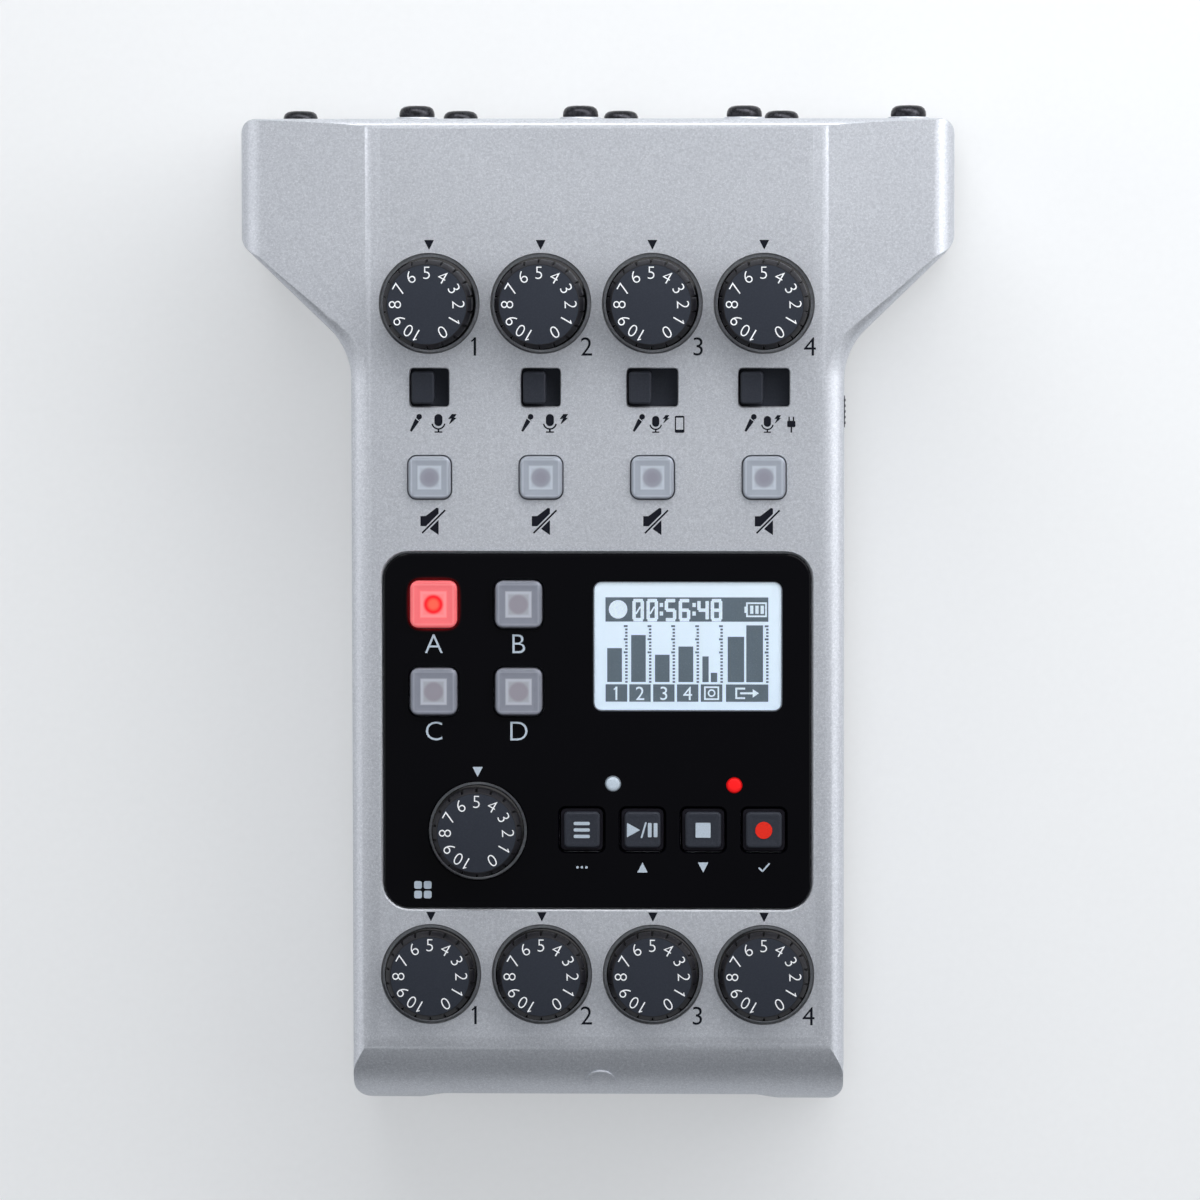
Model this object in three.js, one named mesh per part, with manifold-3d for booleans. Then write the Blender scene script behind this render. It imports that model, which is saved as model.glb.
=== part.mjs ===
// A podcast recorder. A tray and a top shell hold the boards. Four microphone sockets stand in the rear wall,
// four headphone jacks in the front wall, and the dials, switches, buttons and display are on the face.
// Millimetres. +Z is up, +Y runs to the rear, and +X is to the right of someone in front of the recorder.
// Face parts are drawn in the frame of the face: z is 0 on its surface, and what lies under it is negative.
import * as THREE from 'three';
import { mergeVertices } from 'three/addons/utils/BufferGeometryUtils.js';
import Module from 'manifold-3d';

const wasm = await Module();
wasm.setup();

// Housing, seen from above
const bodyLength = 155;
const bodyWidth = 77.4;
const shoulderWidth = 112;
const shoulderSide = 19.5; // straight side of a shoulder
const shoulderRun = 16.7; // length over which a shoulder narrows to the body
const neckRound = 10;
const shoulderRound = 3;
const rearRound = 2.4;
const frontRound = 3;
const dipDepth = 0.86; // shallow recess along the front wall
const dipWidthShare = 0.646; // of the body's width
const dipRamp = 3.6;
const dipRound = 2;

// Housing, seen from the side and in section
const faceHeight = 38.5; // at the middle of the body
const faceTiltDegrees = 2; // the face falls towards the front
const wall = 2;
const footLift = 1;
const undersideRound = 1.6;
const edgeWidth = 3.6; // sloping edge band along the sides, which the flat strip of the face leaves free
const edgeDrop = 2.4;
const rearEdgeWidth = 1.6;
const crestInset = 6.8; // from a shoulder's side, where it starts to roll off
const crestDrop = 0.9;
const rollDrop = 7.5;
const noseLength = 11.5; // where the face starts to roll down to the front wall
const noseDrop = 11;
const edgeWidthShares = [1, 0.2, 0];
const edgeDropShares = [0, 0.4, 1];

// Seam between the tray and the top shell, as shares of the face's height
const trayShare = 0.1143;
const lipShare = 0.0364;

// Fits
const clearance = 0.3;
const inlayGap = 0.2;
const lap = 0.5; // how far a hidden flange reaches past the opening over it
const overrun = 4; // how far a cut runs past what it cuts
const weld = 0.001;

// Columns of the face, as shares of the body's width, and rows, as shares of its length from its middle
const columnPitchShare = 0.2261;
const columnShares = [-1.5, -0.5, 0.5, 1.5]; // of the pitch
const gainRowShare = 0.3135;
const sourceRowShare = 0.2284;
const muteRowShare = 0.1374;
const volumeRowShare = -0.3684;

// Knobs
const wellShare = 0.0705; // a well's radius, of the root of the body's length times its width
const wellDepth = 1.6;
const wellFloor = 1.6;
const wellRim = 0.8; // what the thicker wall leaves round each well
const flangeGap = 0.44;
const flangeTop = 0.8;
const gripStep = 0.33; // from the flange in to the grip
const gripTeeth = 18;
const gripGroove = 0.45;
const grooveShare = 0.16; // of a tooth's pitch
const gripChamfer = 0.6;
const shaftRadius = 3;
const gainKnobTop = 6.8;
const volumeKnobTop = 3.4;
const padKnobTop = 4;

// Source switches
const sourceSlotShare = 0.0387; // its depth, of the body's length
const shortSlot = 6.1;
const longSlot = 7.95;
const sourceCapWidth = 3.5;
const sourceCapGap = 0.5; // in front of the cap and behind it
const sourceCapRound = 0.5;
const sourceCapTop = 1.1;
const sourcePlate = 0.9;
const sourceStem = 2;

// Buttons, the mute buttons as a share of the columns' pitch, and pads and keys of the panel's width
const muteShare = 0.3771;
const muteRound = 1;
const muteTop = 0.9;
const muteTravel = 0.8;
const padShare = 0.1101;
const padRound = 1.3;
const padTop = 1;
const padTravel = 1;
const keySkirtShare = 0.099;
const keyStep = 0.5; // from the skirt in to the cap
const keyRound = 0.6;
const keyTop = 0.5;
const keySkirtDrop = 0.5;
const keyTravel = 0.4;
const buttonEdge = 0.35;
const flangeLap = 0.6; // how far a button's flange reaches past its opening
const flangeThick = 0.8;
const stemSize = 2.6;

// Control panel, with its places as shares of its width and depth from its centre
const panelWidthShare = 0.8682; // of the body's width
const panelDepthShare = 0.36065; // of the body's length
const panelPlaceShare = -0.1203; // of the body's length
const panelRound = 4;
const panelThick = 1.5;
const panelFloor = 1.5;
const panelRim = 1.4;
const padPlaceShares = {
  a: [-0.382, 0.358],
  b: [-0.183, 0.358],
  c: [-0.382, 0.112],
  d: [-0.183, 0.112],
};
const padKnobShares = [-0.28, -0.282];
const windowShares = [0.212, 0.239];
const keyRowShare = -0.278;
const keyShares = { menu: -0.036, play: 0.106, stop: 0.248, record: 0.39 };
const playLightShares = [0.037, -0.148];
const recordLightShares = [0.321, -0.152];

// Display and lights
const windowWidthShare = 0.436; // of the panel's width
const windowDepthShare = 0.3578; // of the panel's depth
const windowRound = 1.1;
const windowThick = 1.3;
const viewInset = 1.65; // from the window's sides in to what shows
const viewInsetAlong = 1.5;
const lcdMargin = 0.5;
const lcdThick = 3;
const lcdLeg = 2;
const lightRadius = 1.2;
const lightTop = 0.2;
const lightFlange = 1.65;
const emitterSize = 3;
const emitterHeight = 1;

// Main board and what is soldered to it
const boardDropShare = 0.3117; // from the face to the board's upper side, of the face's height
const boardThick = 1.6;
const boardMargin = 1;
const boardRearGap = 3;
const boardRound = 2;
const potSize = 9.5;
const potHeight = 5;
const potFloor = 0.6;
const switchSize = 6;
const switchHeight = 3.4;
const slideFrameWidth = 8.6;
const slideFrameDepth = 4;
const slideFrameHeight = 4;
const bossRadius = 2.2;
const bossInset = 5.3; // from the body's side
const bossRowShares = [0.19, -0.63]; // of half the body's length

// Side sockets and power switch, their places along the body as shares of its length
const phonePlaceShare = 0.19;
const usbPlaceShare = 0.03;
const powerPlaceShare = 0.2;
const cardPlaceShare = -0.03;
const jackWidth = 7;
const jackHeight = 6.6;
const jackDepth = 12;
const nozzleRadius = 3;
const jackBore = 1.8;
const usbWidth = 9;
const usbHeight = 3.3;
const usbDepth = 7.4;
const usbSkin = 0.35;
const usbTongueWidth = 6.6;
const usbTongueThick = 0.7;
const usbTongueGap = 1; // behind the mouth
const cardWidth = 25;
const cardHeight = 2.7;
const cardDepth = 24;
const cardSkin = 0.4;
const cardStop = 1.5;
const powerCapWidth = 5;
const powerCapHeight = 2.6;
const powerCapProud = 0.4;
const powerTravel = 3;
const powerPlate = 0.8;
const powerStem = 1.6;
const powerFrameDepth = 6;
const powerFrameHeight = 4.6;

// Microphone sockets
const micPitchShare = 0.23036; // of the shoulders' width
const micCount = 4;
const micHeightShare = 0.53247; // of the face's height, as those of the flange and the screws
const micFlangeGap = 0.6; // between two flanges
const micFlangeShare = 0.7896;
const micFlangeRound = 3;
const micFlangeThick = 2;
const micRadiusShare = 0.4496; // of the pitch, as those that follow
const micMouthShare = 0.3779;
const micCoreShare = 0.3023;
const contactShare = 0.0678;
const contactCircleShare = 0.1705;
const screwAcrossShare = 0.3915; // from the socket's axis, to the side
const micHoleGap = 0.4;
const micDepthShare = 0.1097; // of the body's length
const micGroove = 12;
const micCoreDrop = 1;
const contactDepth = 9;
const screwUpShare = 0.3117;
const screwPadShare = 0.0909;
const screwPadHeight = 0.4;
const screwHeadRadius = 2.8;
const screwHeadHeight = 1.8;
const screwHeadRound = 0.5;
const screwShank = 1.5;
const screwHole = 1.8;
const screwLength = 4;
const screwSeat = 0.1;

// Input board, jack board and headphone jacks
const inputBoardMargin = 9;
const inputBoardHeight = 20;
const jackPitchShare = 0.1809; // of the body's width
const jackCount = 4;
const jackLevel = 12.5;
const jackBoardMargin = 5;
const jackBoardDepth = 15;
const jackPost = 2;
const jackPostShare = 0.42; // of the jack board's width, from its middle

// Batteries, their bay and its door
const batteryLength = 50.4;
const batteryRadiusShare = 0.1844; // of the face's height
const batteryTipRadius = 2.7;
const batteryTip = 1.1;
const batteryEdge = 0.5;
const bayPlaceShare = -0.22; // of the body's length
const bayWall = 1.5;
const contactPlate = 0.5;
const contactPlateHeight = 11;
const contactNub = 1.2;
const contactNubRadius = 3;
const doorRound = 1.5;
const latchSlot = 0.8;
const latchWidth = 12;
const latchLength = 8;

// Feet
const footRadius = 5;
const footSink = 0.8;
const frontFootShares = [0.7, -0.84]; // of half the body's width and length
const rearFootShares = [0.82, 0.84]; // of half the shoulders' width and half the body's length

// Facets
const cornerSteps = 2;
const fineRound = 1.2; // a corner rounded less than this is one flat
const neckSteps = 3;
const noseSteps = 6;
const knobSides = 18;
const roundSides = 16;
const batterySides = 12;
const screwSides = 8;
const smallSides = 8;

// Sizes that follow from the body and the shoulders
const dipWidth = dipWidthShare * bodyWidth;
const creaseWidth = bodyWidth - 2 * edgeWidth;
const crestWidth = shoulderWidth - 2 * crestInset;
const columnPitch = columnPitchShare * bodyWidth;
const wellRadius = wellShare * Math.sqrt(bodyLength * bodyWidth);
const flangeRadius = wellRadius - flangeGap;
const gripRadius = flangeRadius - gripStep;
const sourceSlotDepth = sourceSlotShare * bodyLength;
const sourceCapDepth = sourceSlotDepth - 2 * sourceCapGap;
const panelWidth = panelWidthShare * bodyWidth;
const panelDepth = panelDepthShare * bodyLength;
const muteSize = muteShare * columnPitch;
const padSize = padShare * panelWidth;
const keySkirt = keySkirtShare * panelWidth;
const keySize = keySkirt - 2 * keyStep;
const windowWidth = windowWidthShare * panelWidth;
const windowDepth = windowDepthShare * panelDepth;
const viewWidth = windowWidth - 2 * viewInset;
const viewDepth = windowDepth - 2 * viewInsetAlong;
const micPitch = micPitchShare * shoulderWidth;
const micFlangeWidth = micPitch - micFlangeGap;
const micRadius = micRadiusShare * micPitch;
const micHole = micRadius + micHoleGap;
const micDepth = micDepthShare * bodyLength;
const micMouthRadius = micMouthShare * micPitch;
const micCoreRadius = micCoreShare * micPitch;
const contactRadius = contactShare * micPitch;
const contactCircle = contactCircleShare * micPitch;
const screwAcross = screwAcrossShare * micPitch;
const jackPitch = jackPitchShare * bodyWidth;
const trayHeight = trayShare * faceHeight;
const lipHeight = lipShare * faceHeight;
const boardDrop = boardDropShare * faceHeight;
const micHeight = micHeightShare * faceHeight;
const micFlangeHeight = micFlangeShare * faceHeight;
const screwUp = screwUpShare * faceHeight;
const screwPadRadius = screwPadShare * faceHeight;
const batteryRadius = batteryRadiusShare * faceHeight;

// Places that follow from the sizes
const halfLength = bodyLength / 2;
const halfBody = bodyWidth / 2;
const halfShoulder = shoulderWidth / 2;
const faceTilt = THREE.MathUtils.degToRad(faceTiltDegrees);
const gainRow = gainRowShare * bodyLength;
const sourceRow = sourceRowShare * bodyLength;
const muteRow = muteRowShare * bodyLength;
const volumeRow = volumeRowShare * bodyLength;
const panelPlace = panelPlaceShare * bodyLength;
const columns = columnShares.map((share) => share * columnPitch);
const recessDepth = panelThick + clearance;
const floorUnderside = recessDepth + panelFloor;
const boardUnderside = boardDrop + boardThick;
const innerHalfBody = halfBody - wall;
const trayFloor = footLift + wall;
const potTopDrop = boardDrop - potHeight;
const switchTopDrop = boardDrop - switchHeight;

// Geometry helpers

// Turns a closed geometry into a solid that can be joined and cut.
function solid(geometry) {
  const bare = geometry.clone();
  bare.deleteAttribute('normal');
  bare.deleteAttribute('uv');
  const merged = mergeVertices(bare, weld);
  return new wasm.Manifold(new wasm.Mesh({
    numProp: 3,
    vertProperties: merged.getAttribute('position').array,
    triVerts: Uint32Array.from(merged.getIndex().array),
  }));
}

// Joins geometries or solids into one solid.
function join(shapes) {
  const solids = shapes.map((shape) => (shape.isBufferGeometry ? solid(shape) : shape));
  return solids.reduce((whole, next) => whole.add(next));
}

// Cuts geometries or solids out of a geometry or a solid.
function cut(base, cutters) {
  return join([base]).subtract(join(cutters));
}

// Keeps what a geometry or a solid has in common with each of the others.
function keep(base, bounds) {
  return bounds.reduce((whole, next) => whole.intersect(join([next])), join([base]));
}

// Turns a solid back into a geometry.
function geometryOf(shape) {
  if (shape.isBufferGeometry) return shape;
  const mesh = shape.getMesh();
  const geometry = new THREE.BufferGeometry();
  geometry.setAttribute('position', new THREE.BufferAttribute(mesh.vertProperties, 3));
  geometry.setIndex(new THREE.BufferAttribute(mesh.triVerts, 1));
  const faceted = geometry.toNonIndexed();
  faceted.computeVertexNormals();
  return faceted;
}

// A box that stands on z = bottom, centred on x and y.
function block(width, depth, bottom, top) {
  const geometry = new THREE.BoxGeometry(width, depth, top - bottom);
  return geometry.translate(0, 0, (bottom + top) / 2);
}

// An upright cylinder from z = bottom to z = top.
function disc(radius, bottom, top, sides) {
  const geometry = new THREE.CylinderGeometry(radius, radius, top - bottom, sides);
  return geometry.rotateX(Math.PI / 2).translate(0, 0, (bottom + top) / 2);
}

// A body of revolution about +Z, from a profile of [radius, z] points that starts and ends on the axis.
function turned(profile, sides) {
  const points = profile.map(([radius, z]) => new THREE.Vector2(radius, z));
  return new THREE.LatheGeometry(points, sides).rotateX(Math.PI / 2);
}

// The points of an outline with rounded corners {x, y, round, steps}, each within what its sides leave it.
function roundedOutline(corners) {
  return corners.flatMap((corner, i) => {
    const point = new THREE.Vector2(corner.x, corner.y);
    const before = corners[(i + corners.length - 1) % corners.length];
    const after = corners[(i + 1) % corners.length];
    const toBefore = new THREE.Vector2(before.x, before.y).sub(point);
    const toAfter = new THREE.Vector2(after.x, after.y).sub(point);
    const turn = Math.PI - toBefore.angleTo(toAfter);
    const room = Math.min(toBefore.length(), toAfter.length()) / 2;
    const reach = Math.min(corner.round * Math.tan(turn / 2), room);
    const start = point.clone().addScaledVector(toBefore.normalize(), reach);
    const end = point.clone().addScaledVector(toAfter.normalize(), reach);
    return new THREE.QuadraticBezierCurve(start, point, end).getPoints(corner.steps);
  });
}

// A rectangle with rounded corners, centred on the origin.
function roundedRectangle(width, depth, round) {
  const x = width / 2;
  const y = depth / 2;
  const places = [[x, -y], [x, y], [-x, y], [-x, -y]];
  const steps = round < fineRound ? 1 : cornerSteps;
  return roundedOutline(places.map(([cornerX, cornerY]) => ({ x: cornerX, y: cornerY, round, steps })));
}

// A closed solid through rings {outline, z}, each with as many points, from the lowest to the highest.
function loft(rings) {
  const count = rings[0].outline.length;
  const points = rings.flatMap(({ outline, z }) => outline.map((point) => [point.x, point.y, z]));
  const sides = rings.slice(1).flatMap((ring, level) => ring.outline.flatMap((point, i) => {
    const here = level * count + i;
    const next = level * count + (i + 1) % count;
    return [here, next, next + count, here, next + count, here + count];
  }));
  const lowest = THREE.ShapeUtils.triangulateShape(rings[0].outline, []);
  const highest = THREE.ShapeUtils.triangulateShape(rings[rings.length - 1].outline, []);
  const last = (rings.length - 1) * count;
  const caps = [
    ...lowest.flatMap(([a, b, c]) => [c, b, a]),
    ...highest.flatMap(([a, b, c]) => [last + a, last + b, last + c]),
  ];
  const geometry = new THREE.BufferGeometry();
  geometry.setAttribute('position', new THREE.Float32BufferAttribute(points.flat(), 3));
  geometry.setIndex([...sides, ...caps]);
  return geometry;
}

// A plate with rounded corners, from z = bottom to z = top.
function roundedBlock(width, depth, round, bottom, top) {
  const outline = roundedRectangle(width, depth, round);
  return loft([{ outline, z: bottom }, { outline, z: top }]);
}

// A button cap: a rounded plate whose upper edge is broken.
function cap(width, depth, round, bottom, top, edge) {
  const outline = roundedRectangle(width, depth, round);
  const upper = roundedRectangle(width - 2 * edge, depth - 2 * edge, round);
  return loft([{ outline, z: bottom }, { outline, z: top - edge }, { outline: upper, z: top }]);
}

// An extrusion of a shape drawn in y and z, centred on x.
function acrossX(shape, length) {
  const geometry = new THREE.ExtrudeGeometry(shape, { depth: length, bevelEnabled: false });
  const axes = [new THREE.Vector3(0, 1, 0), new THREE.Vector3(0, 0, 1), new THREE.Vector3(1, 0, 0)];
  return geometry.translate(0, 0, -length / 2).applyMatrix4(new THREE.Matrix4().makeBasis(...axes));
}

// An extrusion of a shape drawn in x and z, centred on y.
function acrossY(shape, length) {
  const geometry = new THREE.ExtrudeGeometry(shape, { depth: length, bevelEnabled: false });
  return geometry.translate(0, 0, -length / 2).rotateX(Math.PI / 2);
}

// Carries a geometry from the frame of the face to the frame of the body.
function onFace(geometry) {
  return geometry.rotateX(faceTilt).translate(0, 0, faceHeight);
}

// Height of the face over the floor, at a place along the body.
function faceLevel(y) {
  return faceHeight + y * Math.tan(faceTilt);
}

// Housing

// The housing's outline from above, drawn in from its sides, rear and front by the given amounts.
function bodyOutline(sideInset, rearInset, frontInset) {
  const shoulderY = halfLength - shoulderSide;
  const right = [
    { x: dipWidth / 2, y: dipDepth - halfLength, round: dipRound, steps: 1 },
    { x: dipWidth / 2 + dipRamp, y: -halfLength, round: dipRound, steps: 1 },
    { x: halfBody, y: -halfLength, round: frontRound, steps: cornerSteps },
    { x: halfBody, y: shoulderY - shoulderRun, round: neckRound, steps: neckSteps },
    { x: halfShoulder, y: shoulderY, round: shoulderRound, steps: cornerSteps },
    { x: halfShoulder, y: halfLength, round: rearRound, steps: cornerSteps },
  ];
  const left = right.map((corner) => ({ ...corner, x: -corner.x })).reverse();
  const corners = [...right, ...left];
  const edges = corners.map((corner, i) => {
    const next = corners[(i + 1) % corners.length];
    const direction = new THREE.Vector2(next.x - corner.x, next.y - corner.y).normalize();
    const normal = new THREE.Vector2(-direction.y, direction.x);
    const isRear = corner.y === halfLength && next.y === halfLength;
    const isFront = Math.max(corner.y, next.y) <= dipDepth - halfLength;
    const inset = isRear ? rearInset : isFront ? frontInset : sideInset;
    return { normal, offset: normal.x * corner.x + normal.y * corner.y + inset };
  });
  return roundedOutline(corners.map((corner, i) => {
    const a = edges[(i + edges.length - 1) % edges.length];
    const b = edges[i];
    const turn = a.normal.x * b.normal.y - a.normal.y * b.normal.x;
    const x = (a.offset * b.normal.y - b.offset * a.normal.y) / turn;
    const y = (b.offset * a.normal.x - a.offset * b.normal.x) / turn;
    return { ...corner, x, y };
  }));
}

// The housing's profile from the side, which rolls down to the front wall.
function sideShape(inset) {
  const front = inset - halfLength;
  const noseY = noseLength - halfLength;
  const shape = new THREE.Shape();
  shape.moveTo(front, 0);
  shape.lineTo(halfLength + overrun, 0);
  shape.lineTo(halfLength + overrun, faceLevel(halfLength + overrun) - inset);
  shape.lineTo(noseY, faceLevel(noseY) - inset);
  const foot = faceLevel(-halfLength) - noseDrop;
  const roll = new THREE.QuadraticBezierCurve(
    new THREE.Vector2(noseY, faceLevel(noseY) - inset),
    new THREE.Vector2(front, faceLevel(front) - inset),
    new THREE.Vector2(front, foot),
  );
  roll.getPoints(noseSteps).slice(1).forEach((point) => shape.lineTo(point.x, point.y));
  return shape;
}

// The housing's section across the body, in the frame of the face: a flat strip, two planes that fall to the
// sides, and the roll-off of the shoulders.
function roofShape(inset) {
  const side = halfShoulder - inset;
  const crest = crestWidth / 2 - inset;
  const roll = new THREE.QuadraticBezierCurve(
    new THREE.Vector2(crest, -crestDrop - inset),
    new THREE.Vector2(side, -crestDrop - inset),
    new THREE.Vector2(side, -rollDrop - inset),
  ).getPoints(noseSteps);
  const right = [
    new THREE.Vector2(side + overrun, -faceHeight - overrun),
    new THREE.Vector2(side + overrun, -rollDrop - inset),
    ...roll.reverse(),
    new THREE.Vector2(creaseWidth / 2, -inset),
  ];
  const left = right.map((point) => new THREE.Vector2(-point.x, point.y)).reverse();
  return new THREE.Shape([...right, ...left]);
}

// The housing's upright walls, drawn in by an inset, from the rounded edge of the underside up to any height.
function walls(inset) {
  const low = footLift + inset;
  const under = inset + undersideRound;
  return loft([
    { outline: bodyOutline(under, under, under), z: low },
    { outline: bodyOutline(inset, inset, inset), z: low + undersideRound },
    { outline: bodyOutline(inset, inset, inset), z: faceHeight + halfLength },
  ]);
}

// The room inside the walls and under the face, drawn in by an inset on every side.
function room(inset) {
  const roof = acrossY(roofShape(inset), bodyLength + 2 * overrun);
  const side = acrossX(sideShape(inset), shoulderWidth + 2 * overrun);
  return keep(walls(inset), [onFace(roof), side]);
}

// The sloping edge band round the face, which leaves the front to its own roll.
function crown() {
  const band = edgeWidthShares.map((share, i) => ({
    outline: bodyOutline(share * edgeWidth, share * rearEdgeWidth, -overrun),
    z: -edgeDropShares[i] * edgeDrop,
  }));
  const skirt = bodyOutline(-overrun, -overrun, -overrun);
  return onFace(loft([
    { outline: skirt, z: -faceHeight - overrun },
    { outline: skirt, z: -edgeDrop - weld },
    ...band.reverse(),
  ]));
}

// The housing's skin before it is parted into the tray and the top shell.
function skin() {
  return keep(room(0), [crown()]).subtract(room(wall));
}

// Everything between two heights over the floor.
function layer(bottom, top) {
  return block(shoulderWidth + 2 * overrun, bodyLength + 2 * overrun, bottom, top);
}

// Columns of a row, as [x, y] places
function row(y) {
  return columns.map((x) => [x, y]);
}

// A place on the control panel, from its shares of the panel's width and depth.
function panelSpot([across, along]) {
  return [across * panelWidth, panelPlace + along * panelDepth];
}

const gainSpots = row(gainRow);
const volumeSpots = row(volumeRow);
const sourceSpots = row(sourceRow);
const muteSpots = row(muteRow);
const padSpots = Object.values(padPlaceShares).map(panelSpot);
const keySpots = Object.values(keyShares).map((share) => panelSpot([share, keyRowShare]));
const padKnobSpot = panelSpot(padKnobShares);
const windowSpot = panelSpot(windowShares);
const lightSpots = [panelSpot(playLightShares), panelSpot(recordLightShares)];
const sourceSlots = [shortSlot, shortSlot, longSlot, longSlot];
const bossSpots = bossRowShares.flatMap((along) => [
  [halfBody - bossInset, along * halfLength],
  [bossInset - halfBody, along * halfLength],
]);
const middleBossSpots = [[0, gainRow], [0, volumeRow]];
const micPlaces = Array.from({ length: micCount }, (unused, i) => (i - (micCount - 1) / 2) * micPitch);
const jackPlaces = Array.from({ length: jackCount }, (unused, i) => (i - (jackCount - 1) / 2) * jackPitch);

// Copies of a geometry at [x, y] places.
function copies(spots, make) {
  return spots.map(([x, y], i) => make(i).translate(x, y, 0));
}

// A cylinder along X, from one place to another.
function rodAlongX(radius, from, to, sides) {
  return disc(radius, from, to, sides).rotateY(Math.PI / 2);
}

// A cylinder along Y, from one place to another.
function rodAlongY(radius, from, to, sides) {
  return disc(radius, -to, -from, sides).rotateX(Math.PI / 2);
}

// Places in the side walls, in the frame of the face
const phonePlace = phonePlaceShare * bodyLength;
const usbPlace = usbPlaceShare * bodyLength;
const powerPlace = powerPlaceShare * bodyLength;
const cardPlace = cardPlaceShare * bodyLength;
const socketTop = -boardUnderside - clearance;
const phoneLevel = socketTop - jackHeight / 2;
const usbLevel = socketTop - usbHeight / 2;
const powerLevel = socketTop - powerFrameHeight / 2;
const cardLevel = socketTop - cardHeight / 2;

// Openings through the side walls.
function sideOpenings() {
  const through = wall + 2 * overrun;
  const usb = block(through, usbWidth + 2 * clearance, -usbHeight / 2 - clearance, usbHeight / 2 + clearance);
  const halfCard = cardHeight / 2 + clearance;
  const card = block(through, cardWidth + 2 * clearance, -halfCard, halfCard);
  const powerSlot = powerCapWidth + powerTravel + 2 * clearance;
  const power = block(through, powerSlot, -powerCapHeight / 2 - clearance, powerCapHeight / 2 + clearance);
  const phone = rodAlongX(nozzleRadius + clearance, -through / 2, through / 2, smallSides);
  return [
    phone.translate(-halfBody, phonePlace, phoneLevel),
    usb.translate(-halfBody, usbPlace, usbLevel),
    card.translate(halfBody, cardPlace, cardLevel),
    power.translate(halfBody, powerPlace + powerTravel / 2, powerLevel),
  ].map(onFace);
}

// Upper shell, with the wells, slots and openings of the face, and the holes of the rear and front walls.
function topShell() {
  const upper = keep(skin(), [layer(trayHeight + clearance, faceHeight + halfLength)]);
  const groove = keep(walls(wall / 2 - clearance / 2), [layer(-overrun, trayHeight + lipHeight + clearance)]);
  const rowWidth = columnPitch * (columns.length - 1) + 2 * wellRadius + 2 * wellRim;
  const rowDepth = 2 * wellRadius + 2 * wellRim;
  const wellBottom = wellDepth + wellFloor;
  const recessRound = panelRound + inlayGap;
  const thickenings = [
    block(rowWidth, rowDepth, -wellBottom, weld - wall).translate(0, gainRow, 0),
    block(rowWidth, rowDepth, -wellBottom, weld - wall).translate(0, volumeRow, 0),
    block(panelWidth + 2 * panelRim, panelDepth + 2 * panelRim, -floorUnderside, weld - wall)
      .translate(0, panelPlace, 0),
    ...copies([...bossSpots, ...middleBossSpots], () => (
      disc(bossRadius, clearance - boardDrop, -wall / 2, smallSides))),
  ];
  const holeEnd = -floorUnderside - overrun;
  const passage = (size) => block(size, size, holeEnd, overrun);
  const slot = (i) => {
    const width = sourceSlots[i];
    return roundedBlock(width, sourceSlotDepth, sourceCapRound, -wall - overrun, overrun);
  };
  const holes = [
    ...copies([...gainSpots, ...volumeSpots], () => disc(wellRadius, -wellDepth, overrun, roundSides)),
    ...copies([...gainSpots, ...volumeSpots, padKnobSpot], () => (
      disc(shaftRadius + clearance, holeEnd, overrun, smallSides))),
    ...copies(sourceSpots, slot),
    ...copies(muteSpots, () => roundedBlock(
      muteSize + 2 * clearance, muteSize + 2 * clearance, muteRound, -wall - overrun, overrun)),
    ...copies(padSpots, () => passage(padSize + 2 * clearance)),
    ...copies(keySpots, () => passage(keySkirt + 2 * clearance)),
    ...copies(lightSpots, () => disc(lightRadius + clearance, holeEnd, overrun, smallSides)),
    block(viewWidth, viewDepth, holeEnd, overrun).translate(windowSpot[0], windowSpot[1], 0),
    roundedBlock(panelWidth + 2 * inlayGap, panelDepth + 2 * inlayGap, recessRound, -recessDepth, overrun)
      .translate(0, panelPlace, 0),
  ];
  const screwPads = micScrewSpots().map(([x, z]) => (
    rodAlongY(screwPadRadius, halfLength - wall / 2, halfLength + screwPadHeight, screwSides)
      .translate(x, 0, z)));
  const holeStart = halfLength - wall - overrun;
  const rearHoles = [
    ...micPlaces.map((x) => (
      rodAlongY(micHole, holeStart, halfLength + overrun, roundSides).translate(x, 0, micHeight))),
    ...micScrewSpots().map(([x, z]) => (
      rodAlongY(screwHole, holeStart, halfLength + overrun, smallSides).translate(x, 0, z))),
  ];
  const frontHoles = jackPlaces.map((x) => (
    rodAlongY(nozzleRadius + clearance, -halfLength - overrun, wall + overrun - halfLength, smallSides)
      .translate(x, 0, jackLevel)));
  const solidShell = join([upper, ...thickenings.map(onFace), ...screwPads]);
  return cut(solidShell, [groove, ...holes.map(onFace), ...rearHoles, ...frontHoles, ...sideOpenings()]);
}

// Two screws hold each microphone socket: one above its axis on the right, and one below it on the left.
function micScrewSpots() {
  return micPlaces.flatMap((x) => [
    [x - screwAcross, micHeight - screwUp],
    [x + screwAcross, micHeight + screwUp],
  ]);
}

// Battery bay, which opens downwards
const bayPlace = bayPlaceShare * bodyLength;
const bayWidth = 4 * batteryRadius + 3 * clearance;
const bayLength = batteryLength + 2 * (contactPlate + contactNub + 2 * clearance);
const batteryLevel = trayFloor + clearance + batteryRadius;
const bayTop = batteryLevel + batteryRadius + clearance;

// Feet, as [x, y] places
const footSpots = [
  [-frontFootShares[0] * halfBody, frontFootShares[1] * halfLength],
  [frontFootShares[0] * halfBody, frontFootShares[1] * halfLength],
  [-rearFootShares[0] * halfShoulder, rearFootShares[1] * halfLength],
  [rearFootShares[0] * halfShoulder, rearFootShares[1] * halfLength],
];

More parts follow.
